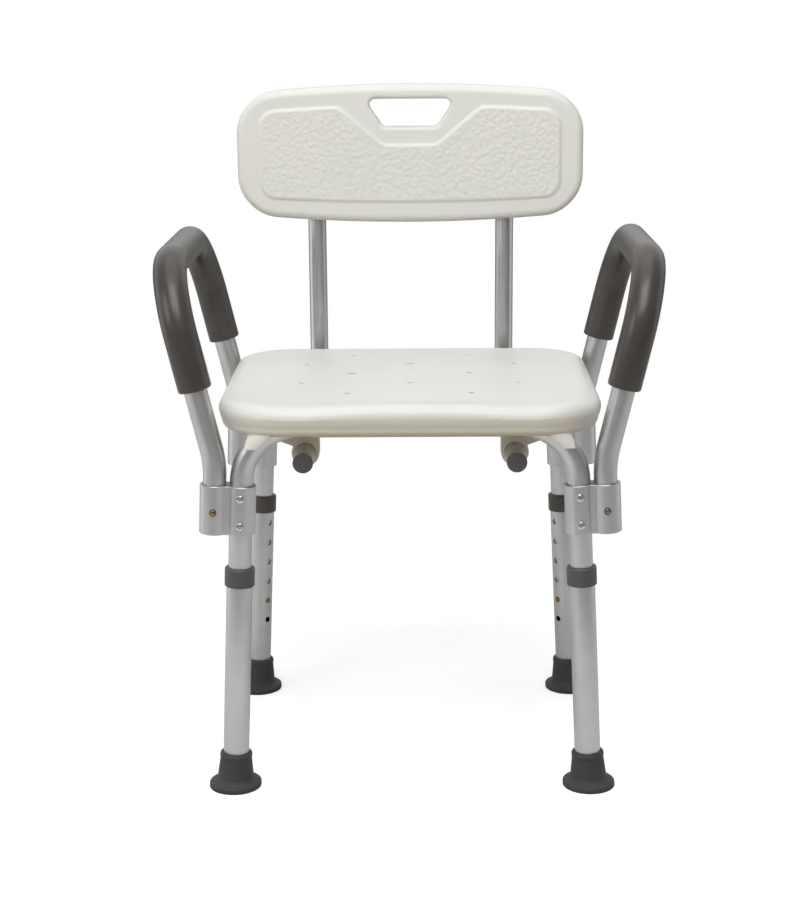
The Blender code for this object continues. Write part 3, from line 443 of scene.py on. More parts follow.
# %% [markdown]
# ## Collars
# A nylon collar caps each lower leg and keeps the inner tube from rattling. It is a turned
# piece, so its profile is drawn once, corner by corner, and spun round the leg.

# %% Collars
COLLAR_BOTTOM, COLLAR_TOP, COLLAR_R, COLLAR_FIT = 0.2353, 0.256, 0.0165, 0.0003
COLLAR_BORE_R, COLLAR_LEDGE = LEG_TUBE_R + COLLAR_FIT, LEG_TUBE_TOP + COLLAR_FIT


def soft_profile(corners, steps=ROUND_STEPS):
    """A closed profile from corners of radius, height and rounding."""
    points = [Vector((r, h, 0)) for r, h, _ in corners]
    profile = []
    for i, (_, _, rounding) in enumerate(corners):
        profile += round_corner(points[i - 1], points[i], points[(i + 1) % len(points)], rounding, steps)
    return [(p.x, p.y) for p in profile]


collar_profile = soft_profile([
    (COLLAR_BORE_R, COLLAR_BOTTOM, 0.0002), (COLLAR_R, COLLAR_BOTTOM, 0.0007),
    (COLLAR_R, COLLAR_TOP, 0.002), (LEG_BORE_R, COLLAR_TOP, 0.0004), (LEG_BORE_R, COLLAR_LEDGE, 0),
    (COLLAR_BORE_R, COLLAR_LEDGE, 0)])
for corner in CORNERS:
    collar = make(f"collar_{corner.name}", turned(collar_profile), [nylon], corner.place)
    stand_in(collar, f"leg_{corner.name}", "grey_plastic", f"leg_collar_{corner.name}")
print("points in the collar's profile:", len(collar_profile))

# %% [markdown]
# ## Rubber feet
# The sole lies flat on the floor while the neck follows the leaning leg. So the foot is
# turned like the collar, but its lowest rings are level, and those between the sole and
# the neck turn a little at a time from one to the other.

# %% Feet
FOOT_R, FOOT_RIM, FOOT_HEIGHT, FOOT_FLOOR = 0.029, 0.0056, 0.0405, 0.01
foot_profile = soft_profile([
    (0, 0, 0), (FOOT_R, 0, 0.0008), (FOOT_R, FOOT_RIM, 0.0016), (0.0218, 0.0088, 0.0014),
    (0.0201, 0.012, 0.001), (0.0175, 0.0345, 0.0006), (0.018, 0.036, 0.0008), (0.018, 0.0385, 0.0008),
    (0.0172, FOOT_HEIGHT, 0.0006), (COLLAR_BORE_R, FOOT_HEIGHT, 0.0003), (COLLAR_BORE_R, FOOT_FLOOR, 0),
    (0, FOOT_FLOOR, 0)])
for corner in CORNERS:
    rings = []
    for radius, height in foot_profile:
        lean = min(max((height - FOOT_RIM) / (FOOT_FLOOR - FOOT_RIM), 0), 1)
        level = Matrix.Rotation(corner.side * LEG_LEAN * (1 - lean), 3, "Y")
        rings.append([level @ p + UP * height for p in circle(Vector(), UP, ACROSS, max(radius, 0.0), 64)])
    foot = make(f"foot_{corner.name}", loft(rings), [rubber], corner.place)
    stand_in(foot, f"leg_{corner.name}", "grey_rubber", f"leg_foot_{corner.name}")
print("foot box:", [round(side, 4) for side in foot.dimensions])

# %% [markdown]
# ## Leg frames
# Two upside-down U tubes carry the seat. Their legs lean, so each bend turns a little
# more than a right angle. The path is three straight lines with two rounded corners.

# %% Leg frames
FRAME_RUN_Z, FRAME_BEND_R, FRAME_TUBE_END = 0.413, 0.0635, 0.098
FRAME_CORNER_X = LEG_HALF_X - FRAME_RUN_Z * tan(LEG_LEAN)
end_x, end_z = LEG_HALF_X - FRAME_TUBE_END * sin(LEG_LEAN), FRAME_TUBE_END * cos(LEG_LEAN)
frame_path = rounded([(end_x, 0, end_z), (FRAME_CORNER_X, 0, FRAME_RUN_Z),
                      (-FRAME_CORNER_X, 0, FRAME_RUN_Z), (-end_x, 0, end_z)], (FRAME_BEND_R, FRAME_BEND_R))
frame_bore = FRAME_TUBE_R - FRAME_TUBE_WALL
for end_name, end in ENDS:
    place = CHAIR @ Matrix.Translation((0, end * LEG_HALF_Y, 0))
    tube = hollow(frame_path, FRAME_TUBE_R, frame_bore, BACKWARDS)
    leg_frame = make(f"{end_name}_frame_tube", tube, [aluminium], place)
    stand_in(leg_frame, "chair_frame", "satin_aluminium", f"{end_name}_leg_frame")
print("length of tube in a frame:", round(travelled(frame_path)[-1], 3))

# %% [markdown]
# ## Arm brackets
# A bracket is cut from an extruded bar: a ring round the leg and a ring for the arm,
# joined by a web, with a flat where the two screw heads sit. Its outline is made of arcs,
# and drawing it once a little smaller at each end gives the sawn edges a chamfer.

# %% Arm brackets
BRACKET_BOTTOM, BRACKET_TOP, BRACKET_R = 0.2945, 0.3485, 0.016
WEB_HALF, LAND, SOCKET_OFFSET, BRACKET_EDGE = 0.0115, 0.0149, 0.029, 0.0004
BRACKET_REACH, ARM_BUTTON_Z, ARC_STEP = 0.002, 0.32, radians(6)


def arc(centre_x, radius, first, last):
    """Points of an arc in X and Y, one for each few degrees."""
    steps = max(1, round(abs(last - first) / ARC_STEP))
    turns = [first + (last - first) * k / steps for k in range(steps + 1)]
    return [(centre_x + radius * cos(t), radius * sin(t)) for t in turns]


def bracket_outline(inset):
    """The bracket's outline at a distance inside its edge."""
    radius = BRACKET_R - inset
    web, land = asin((WEB_HALF - inset) / radius), asin((LAND - inset) / radius)
    points = arc(0, radius, web, land) + arc(0, radius, pi - land, 2 * pi - web)
    return points + arc(SOCKET_OFFSET, radius, pi + web, 3 * pi - web)


def bore_profile(radius, low, high, flare, reach):
    """A cutter's profile that leaves a chamfer at both mouths and reaches past them."""
    wide = radius + flare + reach
    return [(0, low - reach), (wide, low - reach), (radius, low + flare), (radius, high - flare),
            (wide, high + reach), (0, high + reach)]


levels = [(BRACKET_EDGE, BRACKET_BOTTOM), (0, BRACKET_BOTTOM + BRACKET_EDGE),
          (0, BRACKET_TOP - BRACKET_EDGE), (BRACKET_EDGE, BRACKET_TOP)]
for corner in CORNERS:
    rings = [[Vector((x * corner.side, y * corner.end, z)) for x, y in bracket_outline(inset)]
             for inset, z in levels]
    bracket = make(f"bracket_{corner.name}", loft(rings, caps=True), [aluminium], corner.place)
    socket_x = corner.side * SOCKET_OFFSET
    for x, radius in ((0, FRAME_TUBE_R + COLLAR_FIT), (socket_x, LEG_BORE_R)):
        profile = bore_profile(radius, BRACKET_BOTTOM, BRACKET_TOP, BRACKET_EDGE, BRACKET_REACH)
        cut(bracket, make("bore", turned(profile, origin=ACROSS * x), (), corner.place))
    mouth = corner.place @ Vector((socket_x, corner.end * BRACKET_R, ARM_BUTTON_Z))
    spots = [(mouth, corner.place.to_3x3() @ (BACKWARDS * corner.end))]
    cut(bracket, copy_onto("holes", peg(BUTTON_R + 2 * HOLE_FIT, BRACKET_R / 2), spots, aluminium))
    stand_in(bracket, "chair_frame", "satin_aluminium", f"arm_bracket_{corner.name}")
print("points in the bracket's outline:", len(bracket_outline(0)))

# %% [markdown]
# ## Screws
# A pan head screw has a low domed head with a cross recess. One is modelled pointing up,
# from a profile, and two crossed tapered bars cut its recess. The tree then puts it
# wherever the chair has one, each turned by a different amount.

# %% Screws
HEAD_R, HEAD_HEIGHT, HEAD_LIFT, SHANK_R = 0.0045, 0.0025, 0.0003, 0.002
RECESS_LONG, RECESS_SHORT = 0.0024, 0.0006
RECESS_LEVELS = ((0.0009, 0.55), (0.003, 1.1))  # heights, and how wide the taper is there
SCREW_HEIGHTS, PANEL_SCREW_HEIGHTS, SEAT_SCREW_X = (0.3052, 0.336), (0.63, 0.7), 0.06
BACK_TUBE_X, BACK_TUBE_Y, BACK_TUBE_R = 0.1155, 0.212 + CHAIR_Y, 0.0111


def pan_head_screw(length):
    """A screw with its head's underside at the origin and its shank going down."""
    profile = soft_profile([
        (0, HEAD_HEIGHT, 0), (HEAD_R * 0.93, HEAD_HEIGHT * 0.86, 0.001), (HEAD_R, 2 * HEAD_LIFT, 0.0004),
        (HEAD_R, HEAD_LIFT, 0), (SHANK_R, HEAD_LIFT, 0), (SHANK_R, -length, 0.0005), (0, -length, 0)])
    screw = make("screw", turned(profile, count=32), [steel])
    for along, across in ((RECESS_LONG, RECESS_SHORT), (RECESS_SHORT, RECESS_LONG)):
        corners = ((-along, -across), (along, -across), (along, across), (-along, across))
        bars = [[Vector((x * grow, y * grow, z)) for x, y in corners] for z, grow in RECESS_LEVELS]
        cut(screw, make("recess", loft(bars, caps=True)))
    return screw


bracket_spots = [(corner.place @ Vector((0, corner.end * LAND, z)), BACKWARDS * corner.end)
                 for corner in CORNERS for z in SCREW_HEIGHTS]
seat_spots = [(Vector((side * SEAT_SCREW_X, LEG_HALF_Y + CHAIR_Y, FRAME_RUN_Z - FRAME_TUBE_R)), -UP)
              for _, side in SIDES]
panel_spots = [(Vector((side * BACK_TUBE_X, BACK_TUBE_Y + BACK_TUBE_R, z)), BACKWARDS)
               for _, side in SIDES for z in PANEL_SCREW_HEIGHTS]
side_names = [name for name, _ in SIDES]
heights = ("lower", "upper")
bracket_names = [f"{height}_{corner.name}" for height in heights for corner in CORNERS]
panel_names = [f"{height}_{name}" for height in heights for name in side_names]
for kind, body, length, seed, spots, places in (
        ("bracket", "chair_frame", 0.007, 3, bracket_spots, bracket_names),
        ("seat", "chair_frame", 0.031, 5, seat_spots, side_names),
        ("panel", "backrest", 0.028, 7, panel_spots, panel_names)):
    screws = copy_onto(f"{kind}_screws", pan_head_screw(length), spots, steel, 2 * pi, seed)
    stand_in(screws, body, "bright_steel", *[f"{kind}_screw_{place}" for place in places])
    print(kind, "screws:", len(spots))

# %% [markdown]
# ## Snap buttons
# A snap button is a domed brass pin on a spring leaf inside the tube. It is pressed in to
# slide the tube and springs out through the next hole. Each of the ten is a body of its
# own, because each can be pressed. These are the eight of the legs and the arms.

# %% Snap buttons
BUTTON_PROUD, LEAF_GAP, LEAF_THICKNESS, LEAF_WIDTH = 0.0016, 0.0025, 0.001, 0.007
LEAF_BELOW, LEAF_ABOVE, PIN_FOOT = 0.005, 0.025, 0.0045
BUTTON_Z = TOP_HOLE - 4 * HOLE_PITCH


def snap_button(node, bore, surface, place, way, along=UP):
    """A pin that stands proud of a surface, on a leaf that lies along the tube."""
    reach, foot = surface + BUTTON_PROUD, bore - PIN_FOOT
    profile = soft_profile([(0, reach, 0), (BUTTON_R, reach, 0.0014), (BUTTON_R, foot, 0), (0, foot, 0)], 6)
    button = make(node.replace("button", "snap"), turned(profile, way, along, count=32), [brass])
    width = way.cross(along) * (LEAF_WIDTH / 2)
    outer = way * (bore - LEAF_GAP)
    inner = outer - way * LEAF_THICKNESS
    rings = [[base + inner - width, base + inner + width, base + outer + width, base + outer - width]
             for base in (along * -LEAF_BELOW, along * LEAF_ABOVE)]
    cut(button, make("leaf", loft(rings, caps=True), [brass]), "UNION")
    button.data.transform(place)
    stand_in(button, node, "brass", node)


for corner in CORNERS:
    snap_button(f"leg_button_{corner.name}", frame_bore, LEG_TUBE_R,
                corner.place @ Matrix.Translation(UP * BUTTON_Z), button_way(corner))
    socket = Matrix.Translation((corner.side * SOCKET_OFFSET, 0, ARM_BUTTON_Z))
    snap_button(f"arm_button_{corner.name}", frame_bore, BRACKET_R, corner.place @ socket,
                BACKWARDS * corner.end)
print("leg button height:", BUTTON_Z)

# %% [markdown]
# ## Arms
# Each arm is one tube bent four times. It rises from the front socket, leans outwards,
# runs back over the top and comes down to the rear socket. The grip is a foam sleeve over
# the upper part. It follows the same path, so both come from one function.

# %% Arm tubes and foam grips
ARM_TUBE_END, ARM_LOW_BEND, ARM_RISE = 0.303, 0.372, 0.2135
ARM_LOW_BEND_R, ARM_TOP_BEND_R, ARM_LEAN = 0.114, 0.0756, radians(15.8)
GRIP_START, GRIP_R, GRIP_EDGE = 0.082, 0.0183, 0.0026


def arm_path(side, starts, bends):
    """The middle line of an arm; starts are distances up the front part from the low bend."""
    low = Vector((side * SOCKET_OFFSET, 0, ARM_LOW_BEND))
    lean = Vector((side * sin(ARM_LEAN), 0, cos(ARM_LEAN)))
    line = [low + (lean if start >= 0 else UP) * start for start in starts]
    front, rear = ([p + BACKWARDS * y for p in line] for y in (-LEG_HALF_Y, LEG_HALF_Y))
    return rounded(front + rear[::-1], (*bends, *bends[::-1]))


for side_name, side in SIDES:
    outwards = Vector((side * cos(ARM_LEAN), 0, -sin(ARM_LEAN)))
    path = arm_path(side, (ARM_TUBE_END - ARM_LOW_BEND, 0, ARM_RISE), (ARM_LOW_BEND_R, ARM_TOP_BEND_R))
    tube = hollow(path, FRAME_TUBE_R, frame_bore, outwards)
    arm_tube = make(f"arm_tube_{side_name}", tube, [aluminium], leg_place(side, 0))
    stand_in(arm_tube, f"armrest_{side_name}", "satin_aluminium", f"armrest_tube_{side_name}")
    path = arm_path(side, (GRIP_START, ARM_RISE), (ARM_TOP_BEND_R,))
    sleeve = hollow(path, GRIP_R, FRAME_TUBE_R + COLLAR_FIT, outwards, GRIP_EDGE)
    grip = make(f"arm_grip_{side_name}", sleeve, [foam], leg_place(side, 0))
    stand_in(grip, f"armrest_{side_name}", "foam_rubber", f"armrest_sleeve_{side_name}")
    print("grip length:", round(travelled(path)[-1], 3))

# %% [markdown]
# ## Back tubes
# Two bent tubes slide forwards into bosses under the seat and carry the back. A nylon
# plug closes the front end of each, where it could scratch, and a snap button locks each
# tube in its front boss.

# %% Back tubes, caps and buttons
BACK_TUBE_WALL, BACK_RUN_Z, BACK_BEND_R = 0.0012, 0.37, 0.06
BACK_TUBE_FRONT, BACK_TUBE_TOP = -0.1455 + CHAIR_Y, 0.728
FRONT_BOSS_Y, REAR_BOSS_Y = -0.09 + CHAIR_Y, 0.105 + CHAIR_Y
BOSS_R, CAP_HEAD, CAP_STEM = 0.0153, 0.003, 0.015
back_bore = BACK_TUBE_R - BACK_TUBE_WALL
stem_r = back_bore - COLLAR_FIT
cap_profile = soft_profile([
    (0, -CAP_HEAD, 0), (BACK_TUBE_R, -CAP_HEAD, 0.0016), (BACK_TUBE_R, -COLLAR_FIT, 0.0002),
    (stem_r, -COLLAR_FIT, 0), (stem_r, CAP_STEM, 0.0008), (0, CAP_STEM, 0)])
for side_name, side in SIDES:
    x = side * BACK_TUBE_X
    front = Vector((x, BACK_TUBE_FRONT, BACK_RUN_Z))
    path = rounded([front, (x, BACK_TUBE_Y, BACK_RUN_Z), (x, BACK_TUBE_Y, BACK_TUBE_TOP)], (BACK_BEND_R,))
    back_tube = make(f"back_post_{side_name}", hollow(path, BACK_TUBE_R, back_bore, ACROSS), [aluminium])
    stand_in(back_tube, "backrest", "satin_aluminium", f"back_tube_{side_name}")
    cap = make(f"post_cap_{side_name}", turned(cap_profile, BACKWARDS, ACROSS, front), [nylon])
    stand_in(cap, "backrest", "grey_plastic", f"back_tube_cap_{side_name}")
    snap_button(f"back_button_{side_name}", back_bore, BOSS_R,
                Matrix.Translation((x, FRONT_BOSS_Y, BACK_RUN_Z)), -UP, BACKWARDS)
print("length of a back tube:", round(travelled(path)[-1], 3))

# %% [markdown]
# ## Moulded faces from outlines
# The seat and the back are slabs with soft edges. Each is made of closed outlines with
# as many points each: stacking them gives the rounded edges, and a grid that follows the
# four sides of the innermost outline fills each face. Such a grid has clean rows of
# four-sided faces, which take a dish without wrinkles.


# %% Outlines and filled faces
CORNER_STEPS = 24               # facets round an outline's corner, before it is cut in even steps


def resample(points, count):
    """Points at even distances along a line, without its last one."""
    spots = travelled(points)
    wanted = np.linspace(0, spots[-1], count, endpoint=False)
    return np.column_stack([np.interp(wanted, spots, [p[i] for p in points]) for i in (0, 1)])


def outline(corners, counts):
    """A closed outline from corners of x, y and radius, with even steps between them."""
    points = [Vector((x, y, 0)) for x, y, _ in corners]
    rows = zip(points[-1:] + points, points, points[1:] + points[:1], corners)
    arcs = [round_corner(before, point, after, radius, CORNER_STEPS)
            for before, point, after, (_, _, radius) in rows]
    return np.concatenate([resample(here[len(here) // 2:] + there[:len(there) // 2 + 1], count)
                           for here, there, count in zip(arcs, arcs[1:] + arcs[:1], counts)])


def fill(bm, edge, across, shape, finish=0):
    """Fill an outline with a grid; shape turns its flat points into points in space."""
    up = len(edge) // 2 - across
    low, right = edge[:across + 1], edge[across:across + up + 1]
    high = edge[across + up:2 * across + up + 1][::-1]
    left = np.append(edge[2 * across + up:], edge[:1], axis=0)[::-1]
    s = np.linspace(0, 1, across + 1)[:, None, None]
    t = np.linspace(0, 1, up + 1)[None, :, None]
    flat = (1 - t) * low[:, None] + t * high[:, None] + (1 - s) * left[None] + s * right[None]
    flat -= (1 - s) * (1 - t) * low[0] + s * (1 - t) * low[-1] + (1 - s) * t * high[0] + s * t * high[-1]
    grid = [[bm.verts.new(shape(x, y)) for x, y in row] for row in flat]
    for here, there in zip(grid, grid[1:]):
        for j in range(up):
            face = bm.faces.new((here[j], there[j], there[j + 1], here[j + 1]))
            face.material_index = finish


print("steps along a line:", resample([Vector((0, 0)), Vector((1, 0))], 4)[:, 0])

# %% [markdown]
# ## The seat
# The seat is about 35 mm thick. Its top has a shallow dish, and its front edge dips where
# the thighs rest. It is hollow in real life, but a closed slab shows the same.

# %% The seat's slab
SEAT_HALF, SEAT_FRONT, SEAT_REAR = 0.2085, -0.175, 0.172
SEAT_TOP, SEAT_BOTTOM = 0.438, 0.403
SEAT_FRONT_CORNER, SEAT_REAR_CORNER = 0.07, 0.066
SEAT_EDGE, SEAT_LOW_EDGE = 0.013, 0.01
SEAT_DISH, DISH_WIDTH = 0.002, 0.03
THIGH_DIP, THIGH_X, THIGH_WIDTH = 0.003, 0.12, 0.05
THIGH_FADE, SIDE_DIP = 4, 0.6   # how soon the dip ends behind the edge, and its share at the side
SEAT_DRAFT, DRAFT_CURVE = 0.003, 1.7    # the sides lean in by this much on their way down
SEAT_STEPS = (112, 88)          # across the seat and from front to back
SIDE_ROWS = 8                   # rows of faces up the straight part of the sides
SEAT_ROOT = SEAT_BOTTOM + SEAT_LOW_EDGE


def seat_outline(inset):
    """The seat's plan at a distance inside its edge."""
    half, front, rear = SEAT_HALF - inset, SEAT_FRONT + inset, SEAT_REAR - inset
    near, far = SEAT_FRONT_CORNER - inset, SEAT_REAR_CORNER - inset
    corners = [(-half, front, near), (half, front, near), (half, rear, far), (-half, rear, far)]
    return outline(corners, SEAT_STEPS * 2)


def ease(value):
    """A smooth step from 0 to 1."""
    value = min(max(value, 0.0), 1.0)
    return value * value * (3 - 2 * value)


def thigh_dip(x, y):
    """How much the front edge drops where a thigh rests."""
    ahead = min(max((y - SEAT_FRONT) / -SEAT_FRONT, 0), 1)
    return THIGH_DIP * exp(-((abs(x) - THIGH_X) / THIGH_WIDTH) ** 2) * (1 - ahead) ** THIGH_FADE


def depth_inside(x, y):
    """The distance from the seat's edge to a place inside it."""
    radius = SEAT_FRONT_CORNER if y < 0 else SEAT_REAR_CORNER
    out_x = abs(x) - (SEAT_HALF - radius)
    out_y = abs(y - (SEAT_FRONT + SEAT_REAR) / 2) - ((SEAT_REAR - SEAT_FRONT) / 2 - radius)
    return radius - hypot(max(out_x, 0), max(out_y, 0)) - min(max(out_x, out_y), 0)


def seat_top(x, y):
    """The seat's upper face, with its dish and its dips for the thighs."""
    dish = SEAT_DISH * ease((depth_inside(x, y) - SEAT_EDGE) / DISH_WIDTH)
    return Vector((x, y, SEAT_TOP - dish - thigh_dip(x, y)))


rings = [[Vector((x, y, SEAT_ROOT - along)) for x, y in seat_outline(inset + SEAT_DRAFT)]
         for inset, along in quarter(SEAT_LOW_EDGE)[::-1]]
for share in (k / SIDE_ROWS for k in range(1, SIDE_ROWS)):
    z = SEAT_ROOT + (SEAT_TOP - SEAT_EDGE - SEAT_ROOT) * share
    rings.append([Vector((x, y, z)) for x, y in seat_outline(SEAT_DRAFT * (1 - share) ** DRAFT_CURVE)])
for inset, along in quarter(SEAT_EDGE, 12):
    z, drop = SEAT_TOP - SEAT_EDGE + along, 1 if along > 0 else SIDE_DIP
    rings.append([Vector((x, y, z - drop * thigh_dip(x, y))) for x, y in seat_outline(inset)])
bm = loft(rings)
fill(bm, seat_outline(SEAT_EDGE), SEAT_STEPS[0], seat_top)
fill(bm, seat_outline(SEAT_LOW_EDGE + SEAT_DRAFT), SEAT_STEPS[0], lambda x, y: Vector((x, y, SEAT_BOTTOM)))
seat = make("seat_moulding", bm, [polyethylene], CHAIR)
print("seat faces before its cuts:", len(seat.data.polygons))

# %% [markdown]
# ## Ears and bosses
# Ears straddle the bent tubes and bosses hold the back's tubes. A boss is a flat outline
# drawn along Y, with a small bevel. So is an ear, without the bevel, but only its overlap
# with a fat copy of the bent tube is kept, so that it hugs the tube.

# %% Ears and bosses
CHANNEL_R, BOSS_LENGTH, BOSS_EDGE = 0.013, 0.02, 0.001
EAR_DROP, EAR_INSET, EAR_WIDTH, EAR_SLANT, EAR_LIP = 0.013, 0.029, 0.024, 0.0144, 0.003
EAR_WRAP = 0.0016               # how thick an ear is round the tube
RIB_NEAR, RIB_FAR, RIB_RISE = 0.0305, 0.037, 0.014      # the rib beside a boss
boss_turns = [radians(180 + 7.5 * k) for k in range(29)]
paths = {end: [p + BACKWARDS * (end * LEG_HALF_Y) for p in frame_path] for _, end in ENDS}


def bar(name, points, middle, half, bevel=0.0):
    """A flat outline in X and Z drawn both ways along Y, with its edges bevelled if a bevel is given."""
    rings = [[Vector((x, y, z)) for x, z in points] for y in (middle - half, middle + half)]
    piece = make(name, loft(rings, caps=True), (), CHAIR)
    if bevel:
        step = piece.modifiers.new("edge", "BEVEL")
        step.width, step.segments, step.limit_method, step.angle_limit = bevel, 3, "ANGLE", radians(40)
        settle(piece)
    return piece


for _, side in SIDES:
    inner, low = FRAME_CORNER_X - EAR_INSET, SEAT_BOTTOM - EAR_DROP
    outer = inner + EAR_WIDTH
    ear = [(side * x, z) for x, z in (
        (inner, SEAT_ROOT), (inner, SEAT_BOTTOM), (inner + EAR_SLANT, low), (outer + EAR_LIP, low),
        (outer, SEAT_BOTTOM), (outer, SEAT_ROOT))]
    boss = [(-BOSS_R, SEAT_ROOT)]
    boss += [(BOSS_R * cos(t), BACK_RUN_Z + BOSS_R * sin(t)) for t in boss_turns]
    boss += [(RIB_NEAR, BACK_RUN_Z + RIB_RISE), (RIB_FAR, SEAT_ROOT)]
    boss = [(side * (BACK_TUBE_X + x), z) for x, z in boss]
    for end, path in paths.items():
        piece = bar("ear", ear, end * LEG_HALF_Y, 2 * CHANNEL_R)
        wrap = hollow(path, CHANNEL_R + EAR_WRAP, CHANNEL_R / 2, BACKWARDS)
        cut(piece, make("round", wrap, (), CHAIR), "INTERSECT")
        cut(seat, piece, "UNION")
    for y in (FRONT_BOSS_Y - CHAIR_Y, REAR_BOSS_Y - CHAIR_Y):
        cut(seat, bar("boss", boss, y, BOSS_LENGTH / 2, BOSS_EDGE), "UNION")
print("seat faces with ears and bosses:", len(seat.data.polygons))

# %% [markdown]
# ## Channels and bores
# A channel is the frame tube's own path, a little fatter, and a flat slot below it that
# lets the tube in. Channels and bores are cut through all that was joined.

# %% Channels and bores
CORE_R = 0.001                  # what is left inside the channels' cutter
BORE_EDGE, BORE_REACH, PIN_HOLE_DEPTH = 0.0002, 0.001, 0.01
for end, path in paths.items():
    cut(seat, make("channel", hollow(path, CHANNEL_R, CORE_R, BACKWARDS), (), CHAIR))
    cut(seat, bar("slot", [(p.x, p.z) for p in path], end * LEG_HALF_Y, CHANNEL_R))
half = BOSS_LENGTH / 2
profile = bore_profile(BACK_TUBE_R + SLIDE_FIT, -half, half, BORE_EDGE, BORE_REACH)
for _, side in SIDES:
    for y in (FRONT_BOSS_Y, REAR_BOSS_Y):
        bore = turned(profile, BACKWARDS, ACROSS, Vector((side * BACK_TUBE_X, y, BACK_RUN_Z)))
        cut(seat, make("bore", bore))
spots = [(Vector((side * BACK_TUBE_X, FRONT_BOSS_Y, BACK_RUN_Z - BOSS_R)), -UP) for _, side in SIDES]
cut(seat, copy_onto("pin_holes", peg(BUTTON_R + 2 * HOLE_FIT, PIN_HOLE_DEPTH), spots, polyethylene))
print("seat faces:", len(seat.data.polygons))

# %% [markdown]
# ## Drain holes
# Water must not stay on the seat, so twelve holes in staggered columns go through it.
# The same tree places their pegs, which flare at the mouth and narrow on their way down.

# %% Drain holes
DRAIN_R, DRAIN_MOUTH, DRAIN_Y, DRAIN_STEP = 0.0037, 0.0012, 0.02, 0.112
DRAIN_FAR_X, DRAIN_NEAR_X = 0.122, 0.068
ABOVE, BELOW = 0.004, 0.01      # how far a peg reaches past the seat
top, bottom = SEAT_TOP - SEAT_DISH, SEAT_BOTTOM - BELOW
drains = [(x, DRAIN_Y + way * DRAIN_STEP / 2) for x in (-DRAIN_FAR_X, 0, DRAIN_FAR_X) for way in (-1, 1)]
drains += [(x, DRAIN_Y + way * DRAIN_STEP) for x in (-DRAIN_NEAR_X, DRAIN_NEAR_X) for way in (-1, 0, 1)]
profile = [(0, ABOVE), (DRAIN_R + DRAIN_MOUTH + ABOVE, ABOVE)]
profile += [(DRAIN_R + a, b - DRAIN_MOUTH) for b, a in quarter(DRAIN_MOUTH, 4)]
profile += [(DRAIN_R, bottom - top), (0, bottom - top)]
spots = [(Vector((x, y + CHAIR_Y, top)), UP) for x, y in drains]
cut(seat, copy_onto("drains", make("drain", turned(profile, count=32)), spots, polyethylene))
stand_in(seat, "chair_frame", "moulded_polyethylene", "seat_panel")
print("drain holes:", len(drains))

# %% [markdown]
# ## The back
# The back is a second moulding: a curved slab with a rolled rim and a raised pebbled
# field that dips round the handle hole. The panel and its field are outlines with
# matching points, so the border between them is made of clean rows too. All is modelled
# flat and then bent: the edges swell at the middle and the ends come forward.

# %% The back's slab
PANEL_HALF, PANEL_BOTTOM, PANEL_TOP, PANEL_CORNER = 0.21, 0.601, 0.744, 0.046
PANEL_FRONT, PANEL_THICKNESS = BACK_TUBE_Y - 0.024, 0.026
PANEL_EDGE, PANEL_REAR_EDGE, PANEL_CROWN, PANEL_CURVE = 0.009, 0.004, 0.012, 0.006
FIELD_SIDE, FIELD_INSET, FIELD_CORNER, FIELD_RISE = 0.028, 0.022, 0.0185, 0.0022
FIELD_STEP = 0.0044             # metres across the step from the border to the field
HANDLE_TOP, HANDLE_BOTTOM, HANDLE_NEAR, HANDLE_FAR, HANDLE_CORNER = 0.7382, 0.705, 0.0325, 0.0555, 0.007
NOTCH_RIM, NOTCH_SLOPE = 0.023, 0.054
TOP_STEPS = (62, 38, 44, 38, 62)
PANEL_STEPS = (sum(TOP_STEPS), 80, *TOP_STEPS, 80)
STEP_ROWS, BORDER_ROWS = 6, 8


def bent(x, y, z):
    """A point of the flat panel, moved by the swell of its edges and by its curve."""
    middle, half = (PANEL_TOP + PANEL_BOTTOM) / 2, (PANEL_TOP - PANEL_BOTTOM) / 2
    share = (x / PANEL_HALF) ** 2
    return Vector((x, y - PANEL_CURVE * share, z + PANEL_CROWN * (1 - share) * (z - middle) / half))


def panel_outline(inset):
    """The panel's plain outline at a distance inside its edge."""
    half, low, high = PANEL_HALF - inset, PANEL_BOTTOM + inset, PANEL_TOP - inset
    near, far, radius = HANDLE_NEAR, HANDLE_NEAR + NOTCH_SLOPE, PANEL_CORNER - inset
    return outline([(-half, low, radius), (half, low, radius), (half, high, radius), (far, high, 0),
                    (near, high, 0), (-near, high, 0), (-far, high, 0), (-half, high, radius)], PANEL_STEPS)


def field_outline(inset):
    """The raised field's outline, which dips below the handle hole."""
    half = PANEL_HALF - FIELD_SIDE - inset
    low, high = PANEL_BOTTOM + FIELD_INSET + inset, PANEL_TOP - FIELD_INSET - inset
    notch = HANDLE_BOTTOM - NOTCH_RIM - inset
    near = HANDLE_NEAR + inset * (hypot(NOTCH_SLOPE, high - notch) - NOTCH_SLOPE) / (high - notch)
    far = near + NOTCH_SLOPE
    return outline([(x, z, FIELD_CORNER) for x, z in (
        (-half, low), (half, low), (half, high), (far, high), (near, notch), (-near, notch), (-far, high),
        (-half, high))], PANEL_STEPS)


